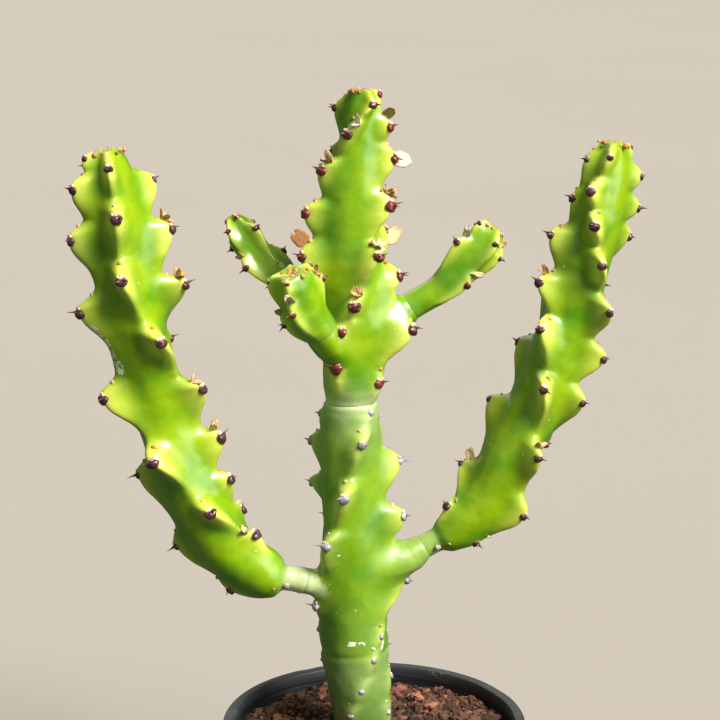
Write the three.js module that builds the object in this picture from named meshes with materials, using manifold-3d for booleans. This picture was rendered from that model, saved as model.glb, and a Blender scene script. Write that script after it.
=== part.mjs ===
// Potted euphorbia: a candelabra-shaped succulent with four wavy ribs on every stem,
// standing in a black nursery pot of granular soil.
// Millimetres, +Z up, +X to the right and +Y away from the viewer.
// The origin is the centre of the pot's underside.

import * as THREE from 'three';
import { mergeVertices } from 'three/addons/utils/BufferGeometryUtils.js';
import Module from 'manifold-3d';

const wasm = await Module();
wasm.setup();

// ---------------------------------------------------------------------------
// Driving dimensions
// ---------------------------------------------------------------------------

const POT = {
  height: 120,
  footRadius: 49.7,
  shoulderRadius: 65.8, // outside of the wall just under the rim band
  bandRadius: 69.2,
  bandHeight: 15,
  bandStep: 2, // height of the slope from the wall out to the band
  bandFlare: 0.8, // the band widens by this much up to the lip
  rimRadius: 72.5, // outer edge of the rolled lip
  lipHeight: 2.6,
  lipRound: 0.8,
  wall: 1.6,
  floor: 2.4,
  sides: 36,
  drainRadius: 4.5,
  drainCircle: 35,
  drainSides: 8,
  drains: 6,
};

const SOIL = {
  level: 112.6,
  edgeDrop: 1, // the surface is a little lower at the pot's wall
  heapRings: [0.9, 0.78, 0.66, 0.54, 0.42, 0.3], // rings on top, in shares of its radius
  heapHeight: 1.9, // the loose soil lies in low heaps, this far above and below its level
  heapLength: 30, // from one heap to the second next
  holeSides: 24,
  holeClearance: 0.95,
};

// Start values of the random sequences: lean of each stem's spines.
const SEEDS = {
  trunk: 21,
  crown: 22,
  left_arm: 23,
  right_arm: 24,
  crown_branch_back_left: 25,
  crown_branch_front_left: 26,
  crown_branch_right: 27,
};

const FIT = 0.3; // clearance between pieces that touch
const SEAM = 0.3; // the same clearance where two stem segments meet

const BURIED = { bottom: 70, radius: 13.1 }; // round foot of the trunk, in its hole in the soil

const COLUMNS_PER_RIB = 4; // facets of the skin from one rib to the next
const RING_STEP = 8; // longest facet along a stem
const RING_MERGE = 1.2; // stations closer than this share a ring

const RIDGE_SHARE = 0.26; // part of a tubercle's height that the rib keeps between tubercles
const CREST_ROUND = 6; // degrees at the crest that are rounded
const RIDGE_WIDTH = 15; // degrees in which a rib's height falls to a third
const TUBERCLE_WIDTH = 10;
const TUBERCLE_RISE = 4.2; // a tubercle is steep on its upper side
const TUBERCLE_FALL = 8.6; // and runs out slowly below

// The horny cap sits on the tubercle's tip, sunk into the skin and tilted up the stem.
const CAP = { radius: 2.7, neck: 1.5, height: 2.0, sink: 1.1, sides: 4, tilt: 0.35, crest: 0.2 };
const SPINE = { radius: 0.55, foot: 0.1, length: 5.2, lean: 2.2 };

// A dried leaf's blade, with its widths and heights in shares of the leaf's own size.
const LEAF = {
  thickness: 0.8,
  sink: 1.6, // length of the stalk's end inside the stem
  inset: 3.1, // the stalk grows this far below the tubercle's tip
  lift: 0.6, // how much the blade turns up along the stem
  hangingInset: 0.6,
  hangingLift: -0.55,
  stalk: 0.5,
  belly: 0.72,
  bellyHeight: 0.42,
  shoulder: 0.3,
  tip: 1.04,
  notch: 0.84,
  facets: 3,
};

// Each stem has a centre line, a girth and four ribs.
// girth: [station along the stem, radius of the stem's body, reach of a tubercle's tip].
// hollow: how far the flanks between the ribs are drawn in, in shares of the ribs' rise.
// collar: the stem is round up to this station.
// bareBelow: tubercles below this station have no cap and no spine.
// ribs: for each rib its tubercles as [station, degrees round the stem], where 0 is the
// right-hand side, 90 the back, 180 the left and 270 the front. A third number is a
// tubercle's own reach. The four ribs are in order round the stem.

const TRUNK = {
  collar: 46,
  hollow: 0.08,
  bareBelow: 104,
  path: [
    [-4.8, 0, BURIED.bottom], [-4.8, 0, 93], [-4.9, 0, 115], [-7.1, 0, 135], [-9.2, 0, 155],
    [-9.9, 0, 177], [-10.1, 0, 200], [-11, 0, 225], [-11.3, 0, 252], [-11, 0, 278.4],
  ],
  girth: [
    [0, BURIED.radius, BURIED.radius], [46, BURIED.radius, BURIED.radius], [53, 14, 15.5],
    [70, 14.9, 16.6], [100, 15.4, 17.2], [112, 15.6, 20], [122, 15.8, 26], [135, 15.2, 24],
    [150, 14.2, 25], [165, 13.6, 24], [180, 13.5, 23.5], [195, 13.6, 19], [203, 12.8, 14.5],
    [208.4, 11.8, 11.8],
  ],
  ribs: [
    [[56, -35], [72, -12], [88, 10], [104, 30], [122, 45], [142, 58], [162, 70], [182, 78],
      [198, 70]],
    [[60, 50], [76, 72], [92, 88], [110, 96], [128, 105], [147, 118], [165, 140], [186, 147],
      [200, 150]],
    [[50, 128], [65, 148], [81, 165], [97, 182], [111, 203], [144, 236, 22], [168, 263],
      [192, 286], [205, 314]],
    [[47, 230], [59, 252], [71, 276], [85, 303], [96, 322], [121, 362], [153, 354], [178, 372],
      [197, 408]],
  ],
};

const CROWN = {
  hollow: 0.22,
  path: [
    [-11, 0, 278.7], [-9.6, 0, 297], [-8.5, 0, 316], [-10.5, 0, 336], [-12, 0, 356],
    [-10, 0, 376], [-7.5, 0, 398], [-6.4, 0, 421],
  ],
  girth: [
    [0, 11.8, 11.8], [6, 13.5, 14.5], [16, 14.5, 17.5], [35, 15, 23], [50, 14.5, 21.5],
    [70, 13.5, 23], [90, 12.2, 20.5], [106, 10.5, 18], [118, 9, 17], [130, 7.6, 13.5],
    [138, 6, 10.5], [142.9, 4, 6.5],
  ],
  ribs: [
    [[14, 92], [32, 118], [54, 112], [74, 105], [94, 112], [112, 128], [134, 158]],
    [[22, 216, 16.5], [70, 198], [86, 195], [106, 210], [124, 250], [137, 303]],
    [[18, 243], [36, 250, 21], [48, 270], [69, 306], [94, 336], [114, 357], [127, 350], [141, 365]],
    [[11, 322], [35, 345, 27], [56, 360], [76, 402], [96, 412], [115, 420], [131, 435]],
  ],
};

const LEFT_ARM = {
  collar: 9,
  bareBelow: 12,
  hollow: 0.28,
  path: [
    [-33.5, -6, 192.3], [-52.5, -8, 197.4], [-69, -9.5, 211], [-82, -11, 232], [-92, -12, 259],
    [-99.5, -13, 285], [-106, -14.5, 313], [-111, -16, 341], [-115, -17, 369], [-118, -18, 396],
  ],
  girth: [
    [0, 5.7, 5.7], [9, 5.8, 5.8], [12, 9.2, 9.6], [16, 11.2, 12.2], [22, 12, 13.8],
    [45, 13, 19], [75, 13, 22], [120, 13, 24.5],
    [170, 12.8, 25], [205, 12.2, 22.5], [222, 10, 19.5], [230, 7.5, 14], [234.6, 4.5, 8],
  ],
  ribs: [
    [[30, 110], [60, 88], [88, 84], [112, 84], [140, 70], [169, 8], [196, 7], [218, 34],
      [232, 57, 9]],
    [[9, 205, 6.6], [28, 188], [53, 172], [86, 160], [116, 125], [147, 112], [178, 115],
      [205, 125], [227, 133]],
    [[38, 334], [65, 290], [97, 250], [128, 204], [167, 200], [199, 205], [221, 215], [233, 212]],
    [[30, 420], [50, 388, 17], [72, 353, 20], [94, 351], [121, 337], [150, 298], [181, 271],
      [208, 277], [229, 276]],
  ],
};

const RIGHT_ARM = {
  collar: 6,
  bareBelow: 12,
  hollow: 0.28,
  path: [
    [24.3, 4, 206.2], [41.3, 6, 215.9], [55, 7, 231], [64, 7, 251], [75, 8, 273], [84, 9, 298],
    [91.5, 9.5, 322], [98, 10, 346], [104, 11, 370], [108.5, 12, 396],
  ],
  girth: [
    [0, 5.7, 5.7], [6, 5.8, 5.8], [10, 8, 8.8], [20, 10.6, 13.5], [35, 12.5, 19],
    [60, 12.5, 21.5], [110, 12, 22],
    [165, 11.8, 21], [185, 11, 19.5], [200, 9, 16.5], [208, 7, 12.5], [214.4, 4.5, 8],
  ],
  ribs: [
    [[21, 200], [45, 150], [79, 150], [111, 137], [140, 122], [165, 116], [188, 112], [205, 118]],
    [[7, 335, 6.8], [20, 335, 11.5], [41, 328], [69, 294], [99, 262], [125, 232], [145, 205],
      [167, 198], [186, 190, 14.5], [205, 198, 12]],
    [[25, 430], [50, 418, 17], [72, 396, 18], [97, 342, 20], [119, 345], [141, 315], [161, 283],
      [177, 260], [192, 242], [208, 260]],
    [[30, 470], [60, 462], [90, 445], [118, 430], [148, 412], [174, 390], [187, 381], [201, 372],
      [213, 390]],
  ],
};

const BACK_LEFT_BRANCH = {
  hollow: 0.25,
  path: [[-30, 11.5, 323.2], [-41, 18, 330], [-52, 23.5, 339], [-60.5, 27, 349], [-67, 30, 358.5]],
  girth: [
    [0, 6.5, 6.5], [12, 6.3, 8.5], [25, 7, 11.5], [42, 7, 12], [50, 5.5, 9], [54.5, 3.5, 5],
  ],
  ribs: [
    [[28, 45], [49, 50]],
    [[22, 130], [44, 140]],
    [[31, 234], [49, 249]],
    [[16, 309], [43, 315], [53, 300]],
  ],
};

const FRONT_LEFT_BRANCH = {
  hollow: 0.25,
  path: [[-25, -17.5, 315.2], [-30, -22, 323], [-34, -26, 332.5], [-37.1, -30, 343.5]],
  girth: [[0, 8, 8], [6, 8, 10.5], [16, 8.5, 13], [28, 8.3, 13], [33.5, 6, 9]],
  ribs: [
    [[23, 25], [32, 30]],
    [[14, 95, 9.5], [29, 92, 11]],
    [[11, 180], [31, 172]],
    [[20, 249], [33, 255]],
  ],
};

const RIGHT_BRANCH = {
  hollow: 0.25,
  path: [[17, 3, 321.8], [29, 4, 329.1], [37.5, 5, 337.8], [46, 5.5, 347.5], [54.2, 6, 358]],
  girth: [
    [0, 6.4, 6.4], [12, 6.5, 7.8], [24, 7.3, 11.5], [38, 7.3, 12.5], [47, 6, 10], [51.5, 4, 6],
  ],
  ribs: [
    [[24, 92], [48, 128]],
    [[37, 217], [50, 205]],
    [[25, 309], [47, 300]],
    [[43, 351], [51, 380]],
  ],
};

// A neck thins to this share of its first radius at its waist, and then to the seam.
const NECK_WAIST = { station: 0.55, share: 0.82 };
const NECK_HANDLE = 0.4; // straight part before the seam, in shares of the neck's length

// Smooth necks on which the side stems grow: where they start inside the parent, and the
// radius there. They end in the flat seam at the root of the side stem.
const NECKS = {
  left_arm: { from: [-14, -1.5, 188.5], radius: 11 },
  right_arm: { from: [-4, 1.5, 196.5], radius: 13 },
  crown_branch_back_left: { from: [-13, 2.5, 313], radius: 10 },
  crown_branch_front_left: { from: [-12, -4, 300], radius: 11 },
  crown_branch_right: { from: [-4, 1, 310.5], radius: 12 },
};

// Dried leaves that still cling above a tubercle: [rib, tubercle, length, width, turn, notch].
// The turn is in degrees about the leaf's own stalk; a notch makes the leaf heart-shaped.
// A last true hangs the leaf out from the tubercle's tip instead.
const LEAVES = {
  crown: [
    [1, 1, 8.5, 7.4, 8, true],
    [2, 5, 7.6, 7.6, 24, false, true],
    [3, 3, 7.0, 5.2, 10, false],
    [1, 3, 5.0, 4.0, 40, false],
    [1, 4, 5.6, 4.4, 10, true],
    [2, 6, 4.8, 4.2, 0, false],
    [2, 2, 5.6, 4.2, 0, true],
  ],
  left_arm: [
    [0, 6, 5.2, 4.4, 20, true],
    [0, 5, 5.0, 4.2, -25, true],
    [3, 3, 5.4, 4.0, 15, false],
  ],
  right_arm: [
    [1, 3, 6.4, 4.2, -30, false],
    [0, 1, 5.2, 3.6, 10, false],
    [1, 6, 5.0, 3.8, 0, true],
  ],
  crown_branch_right: [
    [2, 0, 6.0, 3.4, 0, false],
    [1, 0, 5.4, 4.0, 0, true],
  ],
  crown_branch_front_left: [
    [3, 0, 5.8, 4.0, 20, false],
    [2, 0, 5.2, 3.8, 0, false],
  ],
};

// ---------------------------------------------------------------------------
// Small helpers
// ---------------------------------------------------------------------------

const rad = THREE.MathUtils.degToRad;
const vector = (p) => new THREE.Vector3(p[0], p[1], p[2]);

const bell = (offset, width) => Math.exp(-((offset / width) ** 2) / 2);

// Height of a rib's side at an angle from its crest: a rounded ridge, hollow at its foot.
const fold = (degrees, width) => Math.exp((CREST_ROUND - Math.hypot(degrees, CREST_ROUND)) / width);

// A seeded random sequence, so that every build is the same.
function randomSource(seed) {
  let state = seed >>> 0;
  return () => {
    state = (Math.imul(state, 1664525) + 1013904223) >>> 0;
    return state / 4294967296;
  };
}

// Slope of a table's column at one of its rows, for a smooth curve through the rows.
function slopeAt(table, row, column) {
  const before = table[Math.max(row - 1, 0)];
  const after = table[Math.min(row + 1, table.length - 1)];
  return (after[column] - before[column]) / (after[0] - before[0]);
}

// Value of a column at a station: cubic Hermite between the rows, constant past the ends.
function sampleTable(table, station, column) {
  const last = table.length - 1;
  if (station <= table[0][0]) return table[0][column];
  if (station >= table[last][0]) return table[last][column];
  let row = 0;
  while (table[row + 1][0] < station) row += 1;
  const [a, b] = [table[row], table[row + 1]];
  const span = b[0] - a[0];
  const t = (station - a[0]) / span;
  const rise = b[column] - a[column];
  const startSlope = slopeAt(table, row, column) * span - rise;
  const endSlope = rise - slopeAt(table, row + 1, column) * span;
  return a[column] + t * rise + t * (1 - t) * ((1 - t) * startSlope + t * endSlope);
}

// A closed geometry as a solid: vertices merged, triangles without area dropped.
function toSolid(geometry) {
  const bare = geometry.clone();
  bare.deleteAttribute('normal');
  bare.deleteAttribute('uv');
  const merged = mergeVertices(bare, 1e-4);
  const corners = merged.index.array;
  const kept = [];
  for (let i = 0; i < corners.length; i += 3) {
    const [a, b, c] = [corners[i], corners[i + 1], corners[i + 2]];
    if (a !== b && b !== c && c !== a) kept.push(a, b, c);
  }
  return new wasm.Manifold(new wasm.Mesh({
    numProp: 3,
    vertProperties: Float32Array.from(merged.attributes.position.array),
    triVerts: Uint32Array.from(kept),
  }));
}

function toGeometry(solid) {
  const mesh = solid.getMesh();
  const geometry = new THREE.BufferGeometry();
  geometry.setAttribute('position', new THREE.BufferAttribute(mesh.vertProperties, 3));
  geometry.setIndex(new THREE.BufferAttribute(mesh.triVerts, 1));
  geometry.computeVertexNormals();
  return geometry;
}

const fuse = (solids) => solids.reduce((sum, next) => sum.add(next));

// ---------------------------------------------------------------------------
// Ribbed stems
// ---------------------------------------------------------------------------

// The centre line of a stem, its length, and its frame at a station: the point, the
// direction along the stem, and the two directions across it (right and back).
function centreLine(stem) {
  const curve = new THREE.CatmullRomCurve3(stem.path.map(vector), false, 'catmullrom', 0.5);
  curve.arcLengthDivisions = 600;
  const length = curve.getLength();
  const frameAt = (station) => {
    const u = THREE.MathUtils.clamp(station / length, 0, 1);
    const point = curve.getPointAt(u);
    let along = curve.getTangentAt(u);
    if (stem.rootNormal && station <= 0) along = stem.rootNormal;
    if (stem.endNormal && station >= length) along = stem.endNormal;
    const right = new THREE.Vector3(0, 1, 0).cross(along).normalize();
    const back = along.clone().cross(right);
    return { point, along, right, back };
  };
  return { length, frameAt };
}

// Point at a radius and an angle (degrees) round the stem.
function around(frame, radius, degrees) {
  return frame.point.clone()
    .addScaledVector(frame.right, radius * Math.cos(rad(degrees)))
    .addScaledVector(frame.back, radius * Math.sin(rad(degrees)));
}

const tipRadius = (stem, [station, , ownReach]) => ownReach ?? sampleTable(stem.girth, station, 2);

// How far the tubercles rise above the stem's body.
function ribRise(stem, station) {
  return Math.max(sampleTable(stem.girth, station, 2) - sampleTable(stem.girth, station, 1), 0);
}

// Radius of the flank half-way between the ribs.
function flankRadius(stem, station) {
  return sampleTable(stem.girth, station, 1) - (stem.hollow ?? 0) * ribRise(stem, station);
}

// Height of the rib between tubercles, above the flank.
function ridgeHeight(stem, station) {
  return (RIDGE_SHARE + (stem.hollow ?? 0)) * ribRise(stem, station);
}

// Height of the tubercles of one rib at a station, above the rib.
function tubercleHeight(stem, rib, station) {
  let height = 0;
  for (const tubercle of rib) {
    const offset = station - tubercle[0];
    const width = offset > 0 ? TUBERCLE_RISE : TUBERCLE_FALL;
    const full = tipRadius(stem, tubercle) - flankRadius(stem, tubercle[0])
      - ridgeHeight(stem, tubercle[0]);
    height = Math.max(height, full * bell(offset, width));
  }
  return height;
}

// The skin's radius at a station, between two neighbouring ribs, given the angles to them.
function skinRadius(stem, station, sides) {
  let raised = 0;
  for (const [rib, degrees] of sides) {
    raised += ridgeHeight(stem, station) * fold(degrees, RIDGE_WIDTH);
    raised += tubercleHeight(stem, rib, station) * fold(degrees, TUBERCLE_WIDTH);
  }
  return flankRadius(stem, station) + raised;
}

const ribAngle = (rib, station) => sampleTable(rib, station, 1);

// Stations of the rings: one at every tubercle's tip, and more so that no facet is long.
function ringStations(stem, length) {
  const marks = [0, length];
  if (stem.collar) marks.push(stem.collar);
  for (const rib of stem.ribs) {
    for (const [station] of rib) {
      if (marks.every((mark) => Math.abs(mark - station) > RING_MERGE)) marks.push(station);
    }
  }
  marks.sort((a, b) => a - b);
  const stations = [marks[0]];
  for (let i = 1; i < marks.length; i += 1) {
    const gap = marks[i] - marks[i - 1];
    const parts = Math.ceil(gap / RING_STEP);
    for (let part = 1; part <= parts; part += 1) stations.push(marks[i - 1] + (gap * part) / parts);
  }
  return stations;
}

// Skin point of a column: the columns are spread evenly from each rib to the next.
function skinPoint(stem, frame, station, column) {
  const ribCount = stem.ribs.length;
  const index = Math.floor(column / COLUMNS_PER_RIB) % ribCount;
  const part = (column % COLUMNS_PER_RIB) / COLUMNS_PER_RIB;
  const rib = stem.ribs[index];
  const next = stem.ribs[(index + 1) % ribCount];
  const from = ribAngle(rib, station);
  const to = ribAngle(next, station) + (index === ribCount - 1 ? 360 : 0);
  const gap = to - from;
  const radius = skinRadius(stem, station, [[rib, gap * part], [next, gap * (1 - part)]]);
  return around(frame, radius, from + gap * part);
}

// The stem's skin: a closed lathe whose rings are moved onto the ribbed form.
function stemSkin(stem, line) {
  const stations = ringStations(stem, line.length);
  const frames = stations.map((station) => line.frameAt(station));
  const rings = stations.length;
  const profile = [new THREE.Vector2(0, 0)];
  for (let ring = 0; ring < rings; ring += 1) profile.push(new THREE.Vector2(1, ring));
  profile.push(new THREE.Vector2(0, rings - 1));
  const columns = COLUMNS_PER_RIB * stem.ribs.length;
  const geometry = new THREE.LatheGeometry(profile, columns);
  const position = geometry.attributes.position;
  for (let i = 0; i < position.count; i += 1) {
    const ring = THREE.MathUtils.clamp((i % profile.length) - 1, 0, rings - 1);
    const onAxis = i % profile.length === 0 || i % profile.length === profile.length - 1;
    const column = Math.floor(i / profile.length) % columns;
    const point = onAxis
      ? frames[ring].point
      : skinPoint(stem, frames[ring], stations[ring], column);
    position.setXYZ(i, point.x, point.y, point.z);
  }
  return toSolid(geometry);
}

// Turns a shape made along +Z so that it points along a direction, and moves it.
function plant(geometry, point, direction) {
  const turn = new THREE.Quaternion().setFromUnitVectors(new THREE.Vector3(0, 0, 1), direction);
  geometry.applyQuaternion(turn);
  geometry.translate(point.x, point.y, point.z);
  return toSolid(geometry);
}

// Direction in which a tubercle's cap faces: out of the stem and a little upwards.
function outwards(frame, degrees) {
  return frame.right.clone().multiplyScalar(Math.cos(rad(degrees)))
    .addScaledVector(frame.back, Math.sin(rad(degrees)))
    .addScaledVector(frame.along, CAP.tilt)
    .normalize();
}

// The horny cap on a tubercle's tip, with the spine that stands on it. The spine's point
// leans sideways, to the left or the right of the rib.
function hornCap(point, facing, along, spined, lean) {
  const top = CAP.height - CAP.sink;
  const profile = [[0, -CAP.sink], [CAP.radius, -CAP.sink], [CAP.neck, top]];
  if (spined) profile.push([SPINE.radius, top + SPINE.foot]);
  profile.push([0, top + (spined ? SPINE.length : CAP.crest)]);
  const cap = new THREE.LatheGeometry(profile.map(([r, z]) => new THREE.Vector2(r, z)), CAP.sides);
  cap.rotateX(Math.PI / 2);
  const position = cap.attributes.position;
  for (let i = profile.length - 1; i < position.count && spined; i += profile.length) {
    position.setX(i, lean);
  }
  cap.rotateZ(Math.atan2(along.y, along.x));
  return plant(cap, point, facing);
}

// Caps and spines of a stem.
function armour(stem, line, seed) {
  const random = randomSource(seed);
  const pieces = [];
  const bareBelow = stem.bareBelow ?? 0;
  for (const tubercle of stem.ribs.flat().filter(([station]) => station >= bareBelow)) {
    const frame = line.frameAt(tubercle[0]);
    const point = around(frame, tipRadius(stem, tubercle), tubercle[1]);
    const facing = outwards(frame, tubercle[1]);
    const nearTip = line.length - tubercle[0] < SPINE.length;
    const lean = SPINE.lean * (random() < 0.5 ? -1 : 1);
    pieces.push(hornCap(point, facing, frame.along, !nearTip, lean));
  }
  return pieces;
}

// Outline of a dried leaf, its stalk at the origin and its tip along +Y.
function leafShape(length, width, notched) {
  const belly = width * LEAF.belly;
  const bellyHeight = length * LEAF.bellyHeight;
  const shoulder = width * LEAF.shoulder;
  const shape = new THREE.Shape();
  shape.moveTo(-LEAF.stalk, 0);
  shape.quadraticCurveTo(-belly, bellyHeight, -shoulder, length);
  shape.lineTo(0, length * (notched ? LEAF.notch : LEAF.tip));
  shape.lineTo(shoulder, length);
  shape.quadraticCurveTo(belly, bellyHeight, LEAF.stalk, 0);
  return shape;
}

// A dried leaf standing in the notch above its tubercle, or hanging out from the tip.
function driedLeaf(stem, line, [ribIndex, tubercleIndex, length, width, turn, notched, hanging]) {
  const rib = stem.ribs[ribIndex];
  const tubercle = rib[tubercleIndex];
  const inset = hanging ? LEAF.hangingInset : LEAF.inset;
  const lift = hanging ? LEAF.hangingLift : LEAF.lift;
  const station = tubercle[0] + (hanging ? 0 : TUBERCLE_RISE);
  const degrees = ribAngle(rib, station);
  const frame = line.frameAt(station);
  const root = around(frame, tipRadius(stem, tubercle) - inset, degrees);
  const facing = outwards(frame, degrees);
  const blade = new THREE.ExtrudeGeometry(leafShape(length + LEAF.sink, width, notched), {
    depth: LEAF.thickness,
    bevelEnabled: false,
    curveSegments: LEAF.facets,
  });
  blade.translate(0, -LEAF.sink, -LEAF.thickness / 2);
  blade.rotateX(Math.PI / 2);
  blade.rotateZ(rad(turn));
  return plant(blade, root, facing.addScaledVector(frame.along, lift).normalize());
}

// The smooth neck that carries a side stem: from inside the parent to the seam.
function neck(child, { from, radius }) {
  const seam = vector(child.path[0]);
  const normal = vector(child.path[1]).sub(seam).normalize();
  const start = vector(from);
  const bend = seam.clone().addScaledVector(normal, -start.distanceTo(seam) * NECK_HANDLE);
  const rootRadius = child.girth[0][1];
  const waist = radius * NECK_WAIST.share;
  const stem = {
    path: [start.toArray(), bend.toArray(), seam.toArray()],
    endNormal: normal,
    ribs: [[[0, 0]], [[0, 90]], [[0, 180]], [[0, 270]]],
  };
  const line = centreLine(stem);
  stem.girth = [
    [0, radius, radius],
    [line.length * NECK_WAIST.station, waist, waist],
    [line.length, rootRadius, rootRadius],
  ];
  return stemSkin(stem, line);
}

// A whole stem: skin, necks for its side stems, caps, spines and dried leaves.
function stemSolid(name, stem, carried, seed) {
  const line = centreLine(stem);
  const pieces = [stemSkin(stem, line)];
  for (const [childName, child] of Object.entries(carried)) {
    pieces.push(neck(child, NECKS[childName]));
  }
  pieces.push(...armour(stem, line, seed));
  for (const leaf of LEAVES[name] ?? []) pieces.push(driedLeaf(stem, line, leaf));
  return fuse(pieces);
}

// A side stem starts just past its parent's seam, on the same line.
function lifted(stem) {
  const root = vector(stem.path[0]);
  const along = vector(stem.path[1]).sub(root).normalize();
  const start = root.clone().addScaledVector(along, SEAM);
  return { ...stem, path: [start.toArray(), ...stem.path.slice(1)], rootNormal: along };
}

// ---------------------------------------------------------------------------
// Pot and soil
// ---------------------------------------------------------------------------

const shoulderHeight = POT.height - POT.bandHeight;
const bandInside = POT.bandRadius - POT.wall;

// The inside of the wall turns out to the band a little higher than its outside does.
const stepAngle = Math.atan2(POT.bandRadius - POT.shoulderRadius, POT.bandStep);
const stepInside = shoulderHeight + POT.wall * Math.tan(stepAngle / 2);

// Outside radius of the plain wall at a height, and its inside.
function wallRadius(height) {
  return THREE.MathUtils.mapLinear(height, 0, shoulderHeight, POT.footRadius, POT.shoulderRadius);
}
const insideRadius = (height) => wallRadius(height) - POT.wall;

// A body of revolution about the pot's upright axis, from [radius, height] pairs.
const revolved = (profile) => new THREE.LatheGeometry(
  profile.map(([radius, height]) => new THREE.Vector2(radius, height)),
  POT.sides,
);

// An upright round hole.
function drilled(solid, radius, depth, sides, [x, y, z]) {
  const drill = new THREE.CylinderGeometry(radius, radius, depth, sides);
  drill.rotateX(Math.PI / 2);
  drill.translate(x, y, z);
  return solid.subtract(toSolid(drill));
}

function potSolid() {
  const lipBottom = POT.height - POT.lipHeight;
  const lathe = revolved([
    [0, 0],
    [POT.footRadius, 0],
    [POT.shoulderRadius, shoulderHeight],
    [POT.bandRadius, shoulderHeight + POT.bandStep],
    [POT.bandRadius + POT.bandFlare, lipBottom],
    [POT.rimRadius, lipBottom + POT.lipRound],
    [POT.rimRadius, POT.height - POT.lipRound],
    [POT.rimRadius - POT.lipRound, POT.height],
    [bandInside + POT.lipRound, POT.height],
    [bandInside, POT.height - POT.lipRound],
    [bandInside, stepInside + POT.bandStep],
    [insideRadius(shoulderHeight), stepInside],
    [insideRadius(POT.floor), POT.floor],
    [0, POT.floor],
  ]);
  lathe.rotateX(Math.PI / 2);
  let solid = toSolid(lathe);
  for (let i = 0; i < POT.drains; i += 1) {
    const angle = (i / POT.drains) * 2 * Math.PI;
    const place = [POT.drainCircle * Math.cos(angle), POT.drainCircle * Math.sin(angle), 0];
    solid = drilled(solid, POT.drainRadius, POT.floor * 4, POT.drainSides, place);
  }
  return solid;
}

// Loose soil filling the pot, heaped on top, with a plain hole for the trunk's foot.
function soilSolid() {
  const bottom = POT.floor + FIT;
  const edge = bandInside - FIT;
  const walls = [
    [0, bottom],
    [insideRadius(bottom) - FIT, bottom],
    [insideRadius(shoulderHeight) - FIT, stepInside + FIT],
    [edge, stepInside + POT.bandStep + FIT],
    [edge, SOIL.level - SOIL.edgeDrop],
  ];
  const top = SOIL.heapRings.map((share) => [edge * share, SOIL.level]);
  const profile = [...walls, ...top, [0, SOIL.level]];
  const lathe = revolved(profile);
  lathe.rotateX(Math.PI / 2);
  raiseHeaps(lathe, profile.length, walls.length);
  const radius = (BURIED.radius + SOIL.holeClearance) / Math.cos(Math.PI / SOIL.holeSides);
  const depth = POT.height - BURIED.bottom;
  const place = [TRUNK.path[0][0], 0, BURIED.bottom - FIT + depth / 2];
  return drilled(toSolid(lathe), radius, depth, SOIL.holeSides, place);
}

// Height of the soil's heaps at a place, above its level.
function heap(x, y) {
  const turn = (2 * Math.PI) / SOIL.heapLength;
  const across = Math.sin(turn * (x + 4 * Math.sin(y / 9)) + 0.6);
  return SOIL.heapHeight * across * Math.cos(turn * y + 0.9);
}

// Moves the top of the soil up and down, inside its edge.
function raiseHeaps(lathe, rows, firstRow) {
  const position = lathe.attributes.position;
  for (let i = 0; i < position.count; i += 1) {
    if (i % rows >= firstRow) {
      position.setZ(i, position.getZ(i) + heap(position.getX(i), position.getY(i)));
    }
  }
}

// ---------------------------------------------------------------------------
// Assembly
// ---------------------------------------------------------------------------

const FINISHES = {
  old_skin: { color: 0x6f9a3a, roughness: 0.45, metalness: 0 },
  young_skin: { color: 0x8fc41f, roughness: 0.35, metalness: 0 },
  soil: { color: 0x5b3526, roughness: 0.95, metalness: 0 },
  pot: { color: 0x2b2d30, roughness: 0.6, metalness: 0 },
};

const group = new THREE.Group();

function addPart(name, solid, finish) {
  const mesh = new THREE.Mesh(toGeometry(solid), new THREE.MeshStandardMaterial(FINISHES[finish]));
  mesh.name = name;
  group.add(mesh);
}

const trunkTop = centreLine(TRUNK);
const crownRoot = trunkTop.frameAt(trunkTop.length).along;

addPart('pot', potSolid(), 'pot');
addPart('soil', soilSolid(), 'soil');
const armsOfTrunk = { left_arm: LEFT_ARM, right_arm: RIGHT_ARM };
const branchesOfCrown = {
  crown_branch_back_left: BACK_LEFT_BRANCH,
  crown_branch_front_left: FRONT_LEFT_BRANCH,
  crown_branch_right: RIGHT_BRANCH,
};
const crown = { ...CROWN, rootNormal: crownRoot };
addPart('trunk', stemSolid('trunk', TRUNK, armsOfTrunk, SEEDS.trunk), 'old_skin');
addPart('crown', stemSolid('crown', crown, branchesOfCrown, SEEDS.crown), 'young_skin');
for (const [name, stem] of Object.entries({ ...armsOfTrunk, ...branchesOfCrown })) {
  addPart(name, stemSolid(name, lifted(stem), {}, SEEDS[name]), 'young_skin');
}

export default group;
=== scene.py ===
"""Looks of a potted euphorbia.

Ribbed green stems with horny caps, spines, buds and dried leaves stand in crumbly soil in
a black nursery pot, on a pale floor in soft studio light. Places are in metres in the
part's own frame, and the sizes in the tables and fields are in millimetres.
"""

import logging
import math
import random
from dataclasses import dataclass, replace
from enum import Enum

import bmesh
import bpy
import numpy as np
from mathutils import Matrix, Vector, noise
from mathutils.kdtree import KDTree


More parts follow.
